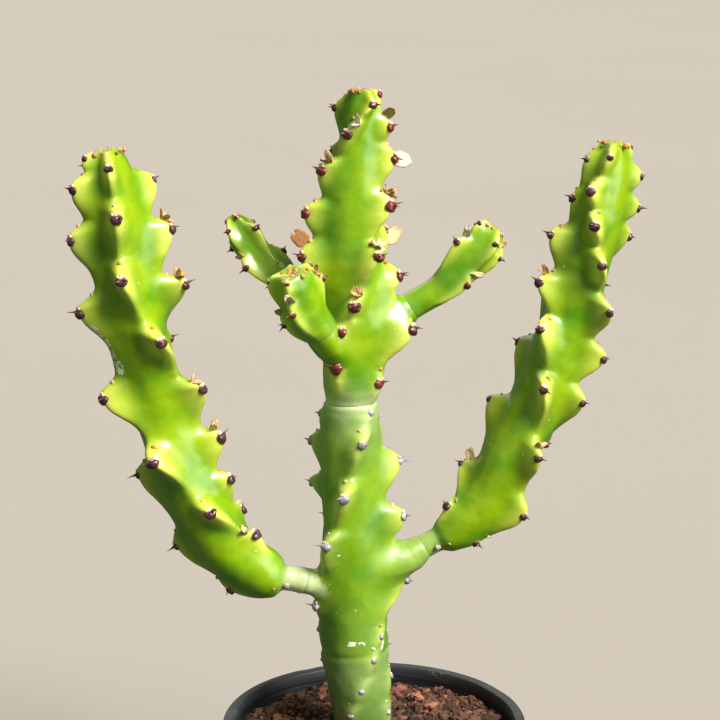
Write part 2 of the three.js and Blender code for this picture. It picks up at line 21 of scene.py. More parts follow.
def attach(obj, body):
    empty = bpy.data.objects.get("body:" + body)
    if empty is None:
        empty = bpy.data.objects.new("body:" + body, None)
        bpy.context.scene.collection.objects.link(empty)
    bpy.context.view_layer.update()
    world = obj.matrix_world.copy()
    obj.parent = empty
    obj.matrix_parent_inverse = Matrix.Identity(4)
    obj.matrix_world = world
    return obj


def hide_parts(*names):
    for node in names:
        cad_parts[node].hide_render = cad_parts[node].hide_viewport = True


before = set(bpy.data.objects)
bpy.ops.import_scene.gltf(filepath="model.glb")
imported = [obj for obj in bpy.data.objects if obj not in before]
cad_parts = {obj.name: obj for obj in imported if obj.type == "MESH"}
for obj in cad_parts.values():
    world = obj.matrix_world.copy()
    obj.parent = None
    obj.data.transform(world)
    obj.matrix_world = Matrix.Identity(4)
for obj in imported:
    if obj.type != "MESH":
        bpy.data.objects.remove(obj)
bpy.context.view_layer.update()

BODY = "root"
MM = 0.001
WELD = 1e-6  # points nearer than this, in metres, become one
GOLDEN_ANGLE = 137.5  # degrees between leaves or buds that follow each other round a stem

Colour = tuple[float, float, float, float]
Row = tuple[float, ...]
Shape = bmesh.types.BMesh
Mesh = bpy.types.Mesh
Material = bpy.types.Material

log = logging.getLogger("euphorbia")


# --- Shader maths ---


class Wire:
    """An output socket that takes part in Python expressions."""

    def __init__(self, board: "Board", socket: bpy.types.NodeSocket) -> None:
        """Wraps a socket of a board's node tree."""
        self.board = board
        self.socket = socket

    def _math(self, operation: str, first: object, second: object) -> "Wire":
        """Adds a Math node for one step of an expression."""
        return self.board.add("ShaderNodeMath", {"operation": operation}, {0: first, 1: second})

    def __add__(self, other: object) -> "Wire":
        """Sum."""
        return self._math("ADD", self, other)

    def __sub__(self, other: object) -> "Wire":
        """Difference."""
        return self._math("SUBTRACT", self, other)

    def __rsub__(self, other: object) -> "Wire":
        """Difference from a number."""
        return self._math("SUBTRACT", other, self)

    def __mul__(self, other: object) -> "Wire":
        """Product."""
        return self._math("MULTIPLY", self, other)

    __radd__ = __add__
    __rmul__ = __mul__

    def step(self, low: float, high: float) -> "Wire":
        """Smooth step from 0 at low to 1 at high.

        Args:
            low: Value that gives 0.
            high: Value that gives 1, which may be below low.

        Returns:
            The stepped value.
        """
        values = {"Value": self, "From Min": low, "From Max": high}
        return self.board.add("ShaderNodeMapRange", {"interpolation_type": "SMOOTHSTEP"}, values)


class Board:
    """The node tree of one material, with a Principled shader at its end."""

    def __init__(self, name: str) -> None:
        """Starts an empty material.

        Args:
            name: Name of the material.
        """
        self.material = bpy.data.materials.new(name)
        self.material.use_nodes = True
        self.nodes = self.material.node_tree.nodes
        self.links = self.material.node_tree.links
        self.nodes.clear()
        self.place = self.add("ShaderNodeTexCoord", {}, {}, "Object")

    def add(self, kind: str, settings: dict, values: dict, output: int | str = 0) -> Wire:
        """Adds a node.

        Args:
            kind: The node's type.
            settings: The node's own settings, and "stops" for a colour ramp.
            values: Numbers, colours or wires for its input sockets.
            output: Name or number of the output to return.

        Returns:
            The chosen output.
        """
        node = self.nodes.new(kind)
        for key, value in settings.items():
            if key == "stops":
                self._set_stops(node.color_ramp, value)
            else:
                setattr(node, key, value)
        for key, value in values.items():
            self._feed(node.inputs[key], value)
        return Wire(self, node.outputs[output]) if node.outputs else Wire(self, None)

    def _set_stops(self, ramp: bpy.types.ColorRamp, stops: list[tuple[float, Colour]]) -> None:
        """Gives a colour ramp its stops.

        Args:
            ramp: The ramp.
            stops: Positions and colours.
        """
        while len(ramp.elements) < len(stops):
            ramp.elements.new(1.0)
        for element, (position, colour) in zip(ramp.elements, stops):
            element.position = position
            element.color = colour

    def _feed(self, socket: bpy.types.NodeSocket, value: object) -> None:
        """Links a wire to a socket, or sets the socket's value.

        Args:
            socket: The input socket.
            value: A wire, a number or a colour.
        """
        if isinstance(value, Wire):
            self.links.new(value.socket, socket)
        else:
            socket.default_value = value

    def attribute(self, name: str) -> Wire:
        """Value that the mesh stores at its points."""
        return self.add("ShaderNodeAttribute", {"attribute_name": name}, {}, "Fac")

    def noise(self, scale: float, detail: float = 2.0, roughness: float = 0.5) -> Wire:
        """Cloudy noise in the piece's own space, with scale in cycles per metre."""
        values = {"Vector": self.place, "Scale": scale, "Detail": detail, "Roughness": roughness}
        return self.add("ShaderNodeTexNoise", {}, values)

    def cells(self, scale: float, feature: str = "F1") -> Wire:
        """Cell pattern in the piece's own space, with scale in cells per metre."""
        values = {"Vector": self.place, "Scale": scale}
        return self.add("ShaderNodeTexVoronoi", {"feature": feature}, values, "Distance")

    def blend(self, factor: object, first: object, second: object) -> Wire:
        """Mixes two colours.

        Args:
            factor: Share of the second colour.
            first: The first colour.
            second: The second colour.

        Returns:
            The mixed colour.
        """
        settings = {"data_type": "RGBA", "clamp_factor": True}
        values = {"Factor": factor, 6: first, 7: second}
        return self.add("ShaderNodeMix", settings, values, 2)

    def brighten(self, colour: Wire | Colour, value: Wire) -> Wire:
        """Multiplies a colour's brightness."""
        return self.add("ShaderNodeHueSaturation", {}, {"Value": value, "Color": colour})

    def ramp(self, factor: Wire, tones: tuple[Colour, ...]) -> Wire:
        """Colour ramp through evenly spaced tones."""
        stops = [(index / (len(tones) - 1), tone) for index, tone in enumerate(tones)]
        return self.add("ShaderNodeValToRGB", {"stops": stops}, {"Fac": factor})

    def bump(self, height: Wire, distance: float, strength: float) -> Wire:
        """Bump from a height of 0 to 1 that stands for a distance in metres."""
        values = {"Height": height, "Distance": distance, "Strength": strength}
        return self.add("ShaderNodeBump", {}, values)

    def finish(self, **values: object) -> Material:
        """Ends the tree in a Principled shader.

        Args:
            **values: The shader's inputs, with spaces in their names as underscores.

        Returns:
            The finished material.
        """
        named = {key.replace("_", " "): value for key, value in values.items()}
        shader = self.add("ShaderNodeBsdfPrincipled", {}, named)
        self.add("ShaderNodeOutputMaterial", {}, {"Surface": shader})
        return self.material


def rgb(red: float, green: float, blue: float) -> Colour:
    """Linear colour from screen values of 0 to 255."""
    return tuple((part / 255.0) ** 2.2 for part in (red, green, blue)) + (1.0,)


# --- Finishes ---


@dataclass(frozen=True)
class SkinFinish:
    """Waxy skin of a stem, with pale bloom and corky scars where the mesh asks for them.
    The hollows and the trunk's foot are darkened with painted shade, and the crests carry a
    painted highlight and a painted sheen.

    Here and in the other finishes, a scale is in cycles per metre.
    """

    name: str
    flank: Colour = rgb(180, 200, 4)
    # Green of the painted shade in the hollows, also used for darker mottled patches.
    shaded: Colour = rgb(64, 134, 6)
    # Lighter, yellower green of the crests: partly the ribs' own colour, partly a painted highlight.
    crest: Colour = rgb(216, 224, 64)
    # Pale waxy bloom, also laid on the crests as a painted sheen.
    bloom: Colour = rgb(212, 222, 170)
    # Dark green of the painted shade towards the trunk's foot.
    foot_shade_green: Colour = rgb(70, 106, 16)
    scar: Colour = rgb(236, 234, 216)
    fleck: Colour = rgb(214, 226, 170)
    roughness: float = 0.31
    coat: float = 0.42
    coat_roughness: float = 0.34
    mottle_scale: float = 55.0
    grain_scale: float = 900.0
    fleck_scale: float = 120.0
    fleck_patch_scale: float = 31.0
    strand_scale: float = 380.0
    crust_scale: float = 420.0
    relief_scale: float = 260.0
    relief_height: float = 0.0004

    def material(self) -> Material:
        """Builds the skin.

        Returns:
            The material.
        """
        board = Board(self.name)
        mottle = board.noise(self.mottle_scale, 3.0)
        grain = board.noise(self.grain_scale, 2.0)
        crest = board.attribute("crest").step(0.0, 1.0)
        # Painted shade: the hollows, where crest is low, are mixed towards the shaded green; the mottle
        # term adds darker patches of the skin's own tone.
        depth = mottle.step(0.3, 0.75) * 0.45 + (1.0 - crest) * 0.45
        skin = board.blend(depth, self.flank, self.shaded)
        # Crests are mixed towards the lighter green: partly the ribs' own colour, partly a painted
        # highlight.
        skin = board.blend(crest * crest * (mottle * 0.6 + 0.4), skin, self.crest)
        skin = board.brighten(skin, grain * 0.12 + 0.94)
        # Painted shade: the lower trunk is mixed towards a dark green, as strongly as the value stored
        # on the mesh asks.
        skin = board.blend(board.attribute("age") * (mottle * 0.3 + 0.7), skin, self.foot_shade_green)
        # Real bloom where the mesh has it; the crest term adds a painted whitish sheen on the ridges.
        bloom = (board.attribute("bloom") + crest * 0.2) * (mottle * 0.6 + grain * 0.5 + 0.25)
        skin = board.blend(bloom, skin, self.bloom)
        flecks = self._flecks(board)
        skin = board.blend(flecks, skin, self.fleck)
        cork = self._cork(board, grain)
        skin = board.blend(cork, skin, self.scar)
        rough = bloom * 0.25 + cork * 0.4 + grain * 0.08 + (self.roughness - 0.04)
        relief = board.noise(self.relief_scale, 3.0) * 0.6 + grain * 0.15 + cork * 0.7
        return board.finish(
            Base_Color=skin,
            Roughness=rough,
            Normal=board.bump(relief, self.relief_height, 0.5),
            Subsurface_Weight=0.12,
            Subsurface_Radius=(0.004, 0.006, 0.001),
            Subsurface_Scale=0.5,
            Specular_IOR_Level=0.6,
            Coat_Weight=self.coat,
            Coat_Roughness=self.coat_roughness,
        )

    def _flecks(self, board: Board) -> Wire:
        """Sparse pale dots of about half a millimetre.

        Args:
            board: The skin's board.

        Returns:
            Where the dots are.
        """
        dots = board.cells(self.fleck_scale).step(0.075, 0.045)
        chosen = board.noise(self.fleck_patch_scale, 0.0).step(0.56, 0.6)
        return dots * chosen * 0.8

    def _cork(self, board: Board, grain: Wire) -> Wire:
        """Broken corky crust where the mesh has scars.

        Args:
            board: The skin's board.
            grain: Fine noise.

        Returns:
            Where the crust is.
        """
        strands = board.cells(self.strand_scale, "DISTANCE_TO_EDGE").step(0.24, 0.12)
        patchy = board.noise(self.crust_scale, 3.0, 0.7)
        crust = (board.attribute("scar") + patchy + grain * 0.2 - 1.6).step(0.0, 0.1)
        web = (board.attribute("scar") + patchy * 1.5 - 1.45).step(0.0, 0.12) * strands
        return (crust + web).step(0.0, 1.0)


@dataclass(frozen=True)
class CapFinish:
    """Glossy horn of caps and spines, from grey on old wood to maroon on young growth."""

    name: str
    roughness: float = 0.28
    tones: tuple[Colour, ...] = (
        rgb(172, 170, 186), rgb(92, 56, 68), rgb(78, 38, 46), rgb(124, 40, 36),
    )
    worn: Colour = rgb(176, 150, 146)
    tip: Colour = rgb(48, 24, 26)
    cloud_scale: float = 700.0
    worn_scale: float = 420.0

    def material(self) -> Material:
        """Builds the horn.

        Returns:
            The material.
        """
        board = Board(self.name)
        cloud = board.noise(self.cloud_scale, 3.0)
        horn = board.ramp(board.attribute("tone") + (cloud - 0.5) * 0.22, self.tones)
        worn = board.noise(self.worn_scale, 2.0).step(0.6, 0.78) * 0.35
        horn = board.blend(worn, horn, self.worn)
        horn = board.blend(board.attribute("dark"), horn, self.tip)
        rough = worn * 0.4 + cloud * 0.12 + self.roughness
        return board.finish(
            Base_Color=horn,
            Roughness=rough,
            Normal=board.bump(cloud, 0.0003, 0.35),
            Coat_Weight=0.3,
            Coat_Roughness=0.15,
        )


@dataclass(frozen=True)
class BudFinish:
    """Felted buds and bud scars, from cream over orange to pink and green."""

    name: str
    tones: tuple[Colour, ...] = (
        rgb(232, 214, 184), rgb(224, 178, 128), rgb(206, 128, 84), rgb(196, 96, 84),
        rgb(150, 178, 70),
    )
    stain: Colour = rgb(142, 92, 66)
    cloud_scale: float = 1500.0

    def material(self) -> Material:
        """Builds the felt.

        Returns:
            The material.
        """
        board = Board(self.name)
        cloud = board.noise(self.cloud_scale, 3.0)
        felt = board.ramp(board.attribute("tone"), self.tones)
        felt = board.blend(cloud.step(0.45, 0.65) * 0.4, felt, self.stain)
        return board.finish(
            Base_Color=felt,
            Roughness=cloud * 0.2 + 0.5,
            Normal=board.bump(cloud, 0.0004, 0.7),
            Subsurface_Weight=0.1,
            Subsurface_Radius=(0.002, 0.001, 0.0006),
            Subsurface_Scale=0.5,
        )


@dataclass(frozen=True)
class LeafFinish:
    """Dried leaf, from cream over tan to brown, with veins and a darker rim."""

    name: str
    tones: tuple[Colour, ...] = (
        rgb(250, 238, 220), rgb(234, 204, 154), rgb(208, 150, 90), rgb(160, 106, 64),
    )
    rim: Colour = rgb(178, 122, 70)
    vein: Colour = rgb(150, 104, 66)
    cloud_scale: float = 480.0
    vein_scale: float = 900.0

    def material(self) -> Material:
        """Builds the leaf.

        Returns:
            The material.
        """
        board = Board(self.name)
        cloud = board.noise(self.cloud_scale, 4.0, 0.6)
        veins = board.cells(self.vein_scale, "DISTANCE_TO_EDGE").step(0.08, 0.0)
        leaf = board.ramp(board.attribute("tone") + (cloud - 0.5) * 0.3, self.tones)
        leaf = board.blend(board.attribute("rim") * 0.8, leaf, self.rim)
        leaf = board.blend(veins * 0.12, leaf, self.vein)
        return board.finish(
            Base_Color=leaf,
            Roughness=cloud * 0.2 + 0.6,
            Normal=board.bump(cloud + veins * 0.4, 0.0004, 0.8),
            Sheen_Weight=0.15,
        )


@dataclass(frozen=True)
class SoilFinish:
    """Damp reddish-brown soil, from black through brown to brick."""

    name: str
    tones: tuple[Colour, ...] = (
        rgb(32, 22, 18), rgb(74, 48, 36), rgb(112, 74, 56), rgb(146, 94, 70), rgb(178, 120, 92),
    )
    speck: Colour = rgb(206, 160, 132)
    cloud_scale: float = 700.0
    speck_scale: float = 2600.0

    def material(self) -> Material:
        """Builds the soil.

        Returns:
            The material.
        """
        board = Board(self.name)
        cloud = board.noise(self.cloud_scale, 4.0, 0.65)
        earth = board.ramp(board.attribute("tone") + (cloud - 0.5) * 0.5, self.tones)
        specks = board.noise(self.speck_scale, 2.0).step(0.64, 0.72)
        earth = board.blend(specks * 0.35, earth, self.speck)
        return board.finish(
            Base_Color=earth,
            Roughness=cloud * 0.25 + 0.7,
            Normal=board.bump(cloud, 0.0012, 0.9),
        )


@dataclass(frozen=True)
class PotFinish:
    """Black moulded plastic with a grey sheen, fine scuffs, a lip painted lighter as a highlight, and
    pale dust on the lip.
    """

    name: str
    plastic: Colour = rgb(17, 18, 20)
    # Grey of the scuffs, also used for the painted highlight along the lip.
    scuff_and_highlight_grey: Colour = rgb(66, 70, 76)
    dust: Colour = rgb(186, 178, 164)
    cloud_scale: float = 60.0
    grain_scale: float = 1300.0
    dust_scale: float = 1500.0
    dust_patch_scale: float = 45.0
    scuff_scale: Row = (30.0, 30.0, 900.0)

    def material(self) -> Material:
        """Builds the plastic.

        Returns:
            The material.
        """
        board = Board(self.name)
        cloud = board.noise(self.cloud_scale, 4.0, 0.6)
        grain = board.noise(self.grain_scale, 2.0)
        stretched = {"Vector": board.place, "Scale": self.scuff_scale}
        streaks = board.add("ShaderNodeMapping", {"vector_type": "POINT"}, stretched)
        values = {"Vector": streaks, "Scale": 1.0, "Detail": 3.0}
        scuffs = board.add("ShaderNodeTexNoise", {}, values).step(0.52, 0.72)
        lip = board.attribute("lip")
        body = board.blend(scuffs * 0.25 + cloud * 0.15, self.plastic, self.scuff_and_highlight_grey)
        # Painted highlight: the top of the lip is mixed towards the lighter grey.
        body = board.blend(lip * 0.5, body, self.scuff_and_highlight_grey)
        dusty = board.noise(self.dust_scale, 2.0).step(0.6, 0.7)
        dusty = dusty * board.noise(self.dust_patch_scale).step(0.48, 0.62)
        body = board.blend(dusty * (lip * 0.8 + 0.15), body, self.dust)
        rough = cloud * 0.15 + scuffs * 0.08 + dusty * 0.3 + 0.45
        return board.finish(
            Base_Color=body,
            Roughness=rough,
            Normal=board.bump(grain * 0.4 + scuffs * 0.6, 0.0002, 0.5),
            Specular_IOR_Level=0.5,
        )


@dataclass(frozen=True)
class FloorFinish:
    """Plain pale studio floor."""

    name: str
    colour: Colour = rgb(162, 154, 148)
    cloud_scale: float = 0.9

    def material(self) -> Material:
        """Builds the floor.

        Returns:
            The material.
        """
        board = Board(self.name)
        cloud = board.noise(self.cloud_scale, 2.0)
        return board.finish(Base_Color=board.brighten(self.colour, cloud * 0.06 + 0.97), Roughness=0.9)


# --- Making pieces ---


def make_piece(name: str, mesh: Mesh, material: Material,
               nodes: tuple[str, ...] = ()) -> None:
    """Puts a mesh into the scene as a piece that rides on the part's one body.

    Args:
        name: Name of the piece.
        mesh: Its mesh, in the part's frame.
        material: Its finish.
        nodes: Nodes of the model that it stands for.
    """
    mesh.name = name
    mesh.materials.clear()
    mesh.materials.append(material)
    piece = bpy.data.objects.new(name, mesh)
    bpy.context.scene.collection.objects.link(piece)
    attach(piece, BODY)
    if nodes:
        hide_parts(*nodes)
    log.info("%s: %d faces", name, len(mesh.polygons))


def to_mesh(shape: Shape, smooth: bool = True) -> Mesh:
    """Turns a bmesh into a mesh with its faces outwards, and frees it.

    Args:
        shape: The bmesh.
        smooth: Whether its faces are shaded smooth.

    Returns:
        The mesh.
    """
    bmesh.ops.recalc_face_normals(shape, faces=shape.faces)
    for face in shape.faces:
        face.smooth = smooth
    mesh = bpy.data.meshes.new("shape")
    shape.to_mesh(mesh)
    shape.free()
    return mesh


def new_part(*names: str) -> tuple[Shape, list[bmesh.types.BMLayerItem]]:
    """Empty shape with a value of each name at its points."""
    shape = bmesh.new()
    return shape, [shape.verts.layers.float.new(name) for name in names]


def add_sphere(shape: Shape, grid: tuple[int, int]) -> None:
    """Adds a ball of radius 1 with so many columns and rings."""
    bmesh.ops.create_uvsphere(shape, u_segments=grid[0], v_segments=grid[1], radius=1.0)


def add_grid(shape: Shape, grid: tuple[int, int]) -> list[bmesh.types.BMVert]:
    """Adds a flat grid of size 1 with so many columns and rows, and gives its points."""
    return bmesh.ops.create_grid(shape, x_segments=grid[0], y_segments=grid[1], size=0.5)["verts"]


def join_part(whole: Shape, part: Shape) -> None:
    """Adds a small shape with the same layers to a large one, and frees it.

    Args:
        whole: The large shape.
        part: The small shape. Operators are quick on it, as they visit few elements.
    """
    mesh = bpy.data.meshes.new("part")
    part.to_mesh(mesh)
    part.free()
    whole.from_mesh(mesh)
    bpy.data.meshes.remove(mesh)


def spun(profile: list[tuple[float, float]], sides: int) -> Shape:
    """Spins a profile round the part's upright axis.

    Args:
        profile: Radius and height of its points, in millimetres.
        sides: How many sides the shape gets.

    Returns:
        The shape, in metres.
    """
    shape = bmesh.new()
    points = [shape.verts.new((radius * MM, 0.0, height * MM)) for radius, height in profile]
    edges = [shape.edges.new(pair) for pair in zip(points, points[1:])]
    bmesh.ops.spin(shape, geom=points + edges, cent=(0, 0, 0), axis=(0, 0, 1), dvec=(0, 0, 0),
                   angle=2 * math.pi, steps=sides, use_merge=True, use_duplicate=False)
    bmesh.ops.remove_doubles(shape, verts=shape.verts, dist=WELD)
    return shape


def with_modifier(mesh: Mesh, kind: str, settings: dict) -> Mesh:
    """Applies one modifier to a mesh.

    Args:
        mesh: The mesh, which is removed.
        kind: The modifier's type.
        settings: The modifier's settings.

    Returns:
        The new mesh.
    """
    holder = bpy.data.objects.new("holder", mesh)
    bpy.context.scene.collection.objects.link(holder)
    modifier = holder.modifiers.new("step", kind)
    for key, value in settings.items():
        setattr(modifier, key, value)
    graph = bpy.context.evaluated_depsgraph_get()
    made = bpy.data.meshes.new_from_object(holder.evaluated_get(graph))
    bpy.data.objects.remove(holder)
    bpy.data.meshes.remove(mesh)
    return made


# --- Stem forms ---


def smooth_column(rows: tuple[Row, ...], stations: np.ndarray, column: int) -> np.ndarray:
    """Reads a column of a table by smooth curves through its rows, constant past the ends.

    Args:
        rows: The table, with stations in column 0.
        stations: Where to read it.
        column: The column to read.

    Returns:
        The values.
    """
    place = np.array([row[0] for row in rows], float)
    value = np.array([row[column] for row in rows], float)
    last = len(place) - 1
    before = np.maximum(np.arange(last + 1) - 1, 0)
    after = np.minimum(np.arange(last + 1) + 1, last)
    slope = (value[after] - value[before]) / (place[after] - place[before])
    clipped = np.clip(stations, place[0], place[last])
    row = np.clip(np.searchsorted(place, clipped, side="right") - 1, 0, last - 1)
    span = place[row + 1] - place[row]
    share = (clipped - place[row]) / span
    rise = value[row + 1] - value[row]
    start = slope[row] * span - rise
    end = rise - slope[row + 1] * span
    bend = share * (1.0 - share) * ((1.0 - share) * start + share * end)
    return value[row] + share * rise + bend


@dataclass(frozen=True)
class StemPlan:
    """Form of one stem, in millimetres and degrees.

    The girth rows are (station, radius of the flank, reach of a tubercle's tip). A rib is a
    row of tubercles as (station, degrees round the stem, own reach if it has one), where 0
    is the right-hand side, 90 the back, 180 the left and 270 the front. A stem with a seat
    ends flat, where the next stem stands on it. Rows of bloom, and of the painted shade that
    darkens a stem towards its foot, are (station, strength), of scars (station, degrees,
    radius, strength), and of creases (station, depth, width). Hollow is the share of a
    tubercle's rise by which the flanks sink in.
    """

    name: str
    path: tuple[Row, ...]
    girth: tuple[Row, ...]
    ribs: tuple[tuple[Row, ...], ...]
    hollow: float = 0.0
    start_along: Row | None = None
    seat: bool = False
    bare_below: float = 0.0
    early_caps: tuple[Row, ...] = ()
    scrap_share: float = 0.12
    old_below: float = 0.0
    bloom: tuple[Row, ...] = ((0.0, 0.9), (6.0, 0.25), (14.0, 0.0))
    # Painted shade towards the foot, as (station, strength).
    age: tuple[Row, ...] = ((0.0, 0.0), (1.0, 0.0))
    scars: tuple[Row, ...] = ()
    creases: tuple[Row, ...] = ()
    cap_tone: Row = (0.36, 0.62)
    bud_tones: Row = (0.1, 0.3, 0.5, 0.7, 0.95, 0.95)
    cap_size: float = 1.0

    def is_old(self, station: float) -> bool:
        """Whether a station is so low that its caps are worn and carry no spines."""
        return station < max(self.old_below, self.bare_below)


@dataclass
class CentreLine:
    """Smooth line through a stem's path, read by the distance along it.

    Its direction at the start is start_along or, without one, the way to the second point.
    """

    path: tuple[Row, ...]
    start_along: Row | None = None
    samples: int = 600

    def __post_init__(self) -> None:
        """Samples the line."""
        points = np.array(self.path, float)
        start_along = self.start_along or tuple(points[1] - points[0])
        ends = np.vstack([2 * points[0] - points[1], points, 2 * points[-1] - points[-2]])
        share = np.linspace(0.0, len(points) - 1.0, self.samples + 1)
        piece = np.minimum(share.astype(int), len(points) - 2)
        t = (share - piece)[:, None]
        a, b, c, d = (ends[piece + step] for step in range(4))
        self.points = 0.5 * (
            2 * b + (c - a) * t + (2 * a - 5 * b + 4 * c - d) * t**2 + (3 * b - a - 3 * c + d) * t**3
        )
        steps = np.linalg.norm(np.diff(self.points, axis=0), axis=1)
        self.stations = np.concatenate([[0.0], np.cumsum(steps)])
        self.length = float(self.stations[-1])
        self.directions = np.gradient(self.points, axis=0)
        first = np.array(start_along) / np.linalg.norm(start_along)
        self.directions[0] = first * np.linalg.norm(self.directions[0])

    def frames(self, stations: np.ndarray) -> tuple[np.ndarray, ...]:
        """Points and directions at some stations.

        Args:
            stations: Distances along the line.

        Returns:
            The points, the directions along the stem, to its right and to its back.
        """
        def read(table: np.ndarray) -> np.ndarray:
            """Reads a table of vectors at the stations."""
            return np.stack([np.interp(stations, self.stations, table[:, i]) for i in range(3)], 1)

        along = read(self.directions)
        along /= np.linalg.norm(along, axis=1)[:, None]
        right = np.cross([0.0, 1.0, 0.0], along)
        right /= np.linalg.norm(right, axis=1)[:, None]
        points = read(self.points) + along * np.minimum(stations, 0.0)[:, None]
        return points, along, right, np.cross(along, right)


@dataclass
class StemForm:
    """The ribbed surface of a stem, in millimetres and degrees.

    Each side of a tubercle is (how far it runs along the rib, how steep it gets), the rings
    at an end are (station from that end, share of the radius), and the bumps are (height,
    cycles per metre).
    """

    plan: StemPlan
    ridge_share: float = 0.18
    crest_round: float = 13.0
    ridge_width: float = 13.0
    tubercle_width: float = 7.5
    tubercle_rise: float = 4.2
    plateau: float = 1.0
    upper_side: Row = (4.2, 2.3)
    lower_side: Row = (12.0, 2.3)
    gap_share: float = 0.45
    columns_per_rib: int = 30
    crowding: float = 0.09
    lowest_crest: float = 2.5
    ring_step: float = 1.0
    bumps: tuple[Row, ...] = ((0.6, 62.0), (0.26, 150.0), (0.1, 360.0))
    crease_sag: float = 1.2
    crease_scale: float = 40.0
    root_rings: tuple[Row, ...] = (
        (-1.6, 0.0), (-1.6, 0.5), (-1.6, 0.97), (-1.2, 0.988), (-0.5, 0.992), (0.6, 1.0),
    )
    seat_rings: tuple[Row, ...] = (
        (-1.9, 1.0), (-1.3, 0.98), (-0.7, 0.94), (0.0, 0.87), (0.0, 0.5), (0.0, 0.0),
    )
    tip_rings: tuple[Row, ...] = (
        (-1.8, 1.0), (-1.1, 0.99), (-0.6, 0.96), (-0.25, 0.9), (-0.15, 0.8), (-0.45, 0.62),
        (-0.9, 0.4), (-1.2, 0.2), (-1.3, 0.0),
    )

    def __post_init__(self) -> None:
        """Draws the centre line and sorts its points for a search by place."""
        self.line = CentreLine(self.plan.path, self.plan.start_along)
        self.axis = KDTree(len(self.line.points))
        for number, point in enumerate(self.line.points):
            self.axis.insert(Vector(point) * MM, number)
        self.axis.balance()

    def reach(self, tubercle: Row) -> float:
        """Distance of a tubercle's tip from the centre line.

        Args:
            tubercle: The tubercle's row in its rib.

        Returns:
            The distance.
        """
        if len(tubercle) > 2:
            return tubercle[2]
        return float(smooth_column(self.plan.girth, np.array([tubercle[0]]), 2)[0])

    def rise(self, stations: np.ndarray) -> np.ndarray:
        """How far the tubercles rise above the stem's body."""
        body = smooth_column(self.plan.girth, stations, 1)
        return np.maximum(smooth_column(self.plan.girth, stations, 2) - body, 0.0)

    def flank(self, stations: np.ndarray) -> np.ndarray:
        """Radius of the flank half-way between the ribs."""
        return smooth_column(self.plan.girth, stations, 1) - self.plan.hollow * self.rise(stations)

    def ridge(self, stations: np.ndarray) -> np.ndarray:
        """Height of the ribs between tubercles, above the flank."""
        return (self.ridge_share + self.plan.hollow) * self.rise(stations)

    def fold(self, degrees: np.ndarray, width: float) -> np.ndarray:
        """Share of a rib's height that is left at an angle from its crest."""
        return np.exp((self.crest_round - np.hypot(degrees, self.crest_round)) / width)

    def lobes(self, rib: tuple[Row, ...], stations: np.ndarray) -> np.ndarray:
        """Height of one rib's tubercles above the rib.

        Args:
            rib: The rib's tubercles.
            stations: Distances along the stem.

        Returns:
            The heights.
        """
        height = np.zeros_like(stations)
        (upper, upper_power), (longest, lower_power) = self.upper_side, self.lower_side
        below = -100.0
        for tubercle in rib:
            lower = min(longest, self.gap_share * (tubercle[0] - below))
            below = tubercle[0]
            at = np.array([tubercle[0]])
            full = self.reach(tubercle) - self.flank(at)[0] - self.ridge(at)[0]
            offset = stations - tubercle[0]
            away = np.maximum(np.abs(offset) - self.plateau, 0.0)
            slope = np.where(offset > 0, (away / upper) ** upper_power, (away / lower) ** lower_power)
            height = np.maximum(height, full * np.exp(-slope))
        return height

    def surface(self, stations: np.ndarray) -> tuple[np.ndarray, np.ndarray, np.ndarray]:
        """Angles, radii and crest values of all columns at some stations.

        Args:
            stations: Distances along the stem.

        Returns:
            Three tables with a row for each station and a column for each skin column.
        """
        ribs = self.plan.ribs
        count = len(ribs)
        core = self.flank(stations)[:, None]
        ridge = self.ridge(stations)[:, None]
        angles = np.stack([smooth_column(rib, stations, 1) for rib in ribs], 1)
        lobes = np.stack([self.lobes(rib, stations) for rib in ribs], 1)
        columns = np.arange(self.columns_per_rib * count)
        index = columns // self.columns_per_rib
        after = (index + 1) % count
        part = (columns % self.columns_per_rib) / self.columns_per_rib
        part = part - self.crowding * np.sin(2 * np.pi * part)
        gap = angles[:, after] + np.where(index == count - 1, 360.0, 0.0) - angles[:, index]
        raised = np.zeros((len(stations), len(columns)))
        for side, offset in ((index, gap * part), (after, gap * (1 - part))):
            raised += ridge * self.fold(offset, self.ridge_width)
            raised += lobes[:, side] * self.fold(offset, self.tubercle_width)
        crest = raised / np.maximum(raised.max(axis=1, keepdims=True), self.lowest_crest)
        return angles[:, index] + gap * part, core + raised, crest

    def places(self, stations: np.ndarray, angles: np.ndarray, radii: np.ndarray) -> np.ndarray:
        """Points at angles and radii round the stem, in millimetres.

        Args:
            stations: Distances along the stem.
            angles: Angles, with a row for each station.
            radii: Radii, in the same order.

        Returns:
            The points, in the same order.
        """
        points, _, right, back = self.line.frames(stations)
        turn = np.radians(angles)[..., None]
        out = np.cos(turn) * right[:, None] + np.sin(turn) * back[:, None]
        return points[:, None] + radii[..., None] * out

    def rings(self) -> tuple[np.ndarray, np.ndarray]:
        """Stations of the skin's rings, and the share of the radius that each keeps.

        Returns:
            The stations and the shares.
        """
        length = self.line.length
        end_rings = self.seat_rings if self.plan.seat else self.tip_rings
        first, last = self.root_rings[-1][0], length + end_rings[0][0]
        count = round((last - first) / self.ring_step)
        body = np.linspace(first, last, count + 1)[1:-1]
        rings = [*self.root_rings, *((station, 1.0) for station in body)]
        rings += [(length + station, share) for station, share in end_rings]
        table = np.array(rings)
        return table[:, 0], table[:, 1]

    def skin(self) -> Shape:
        """Builds the closed skin as a grid that is rolled round the stem.

        Returns:
            The skin, with the values that its finish reads.
        """
        stations, shares = self.rings()
        angles, radii, crest = self.surface(stations)
        places = self.places(stations, angles, radii * shares[:, None]) * MM
        bloom = smooth_column(self.plan.bloom, stations, 1)
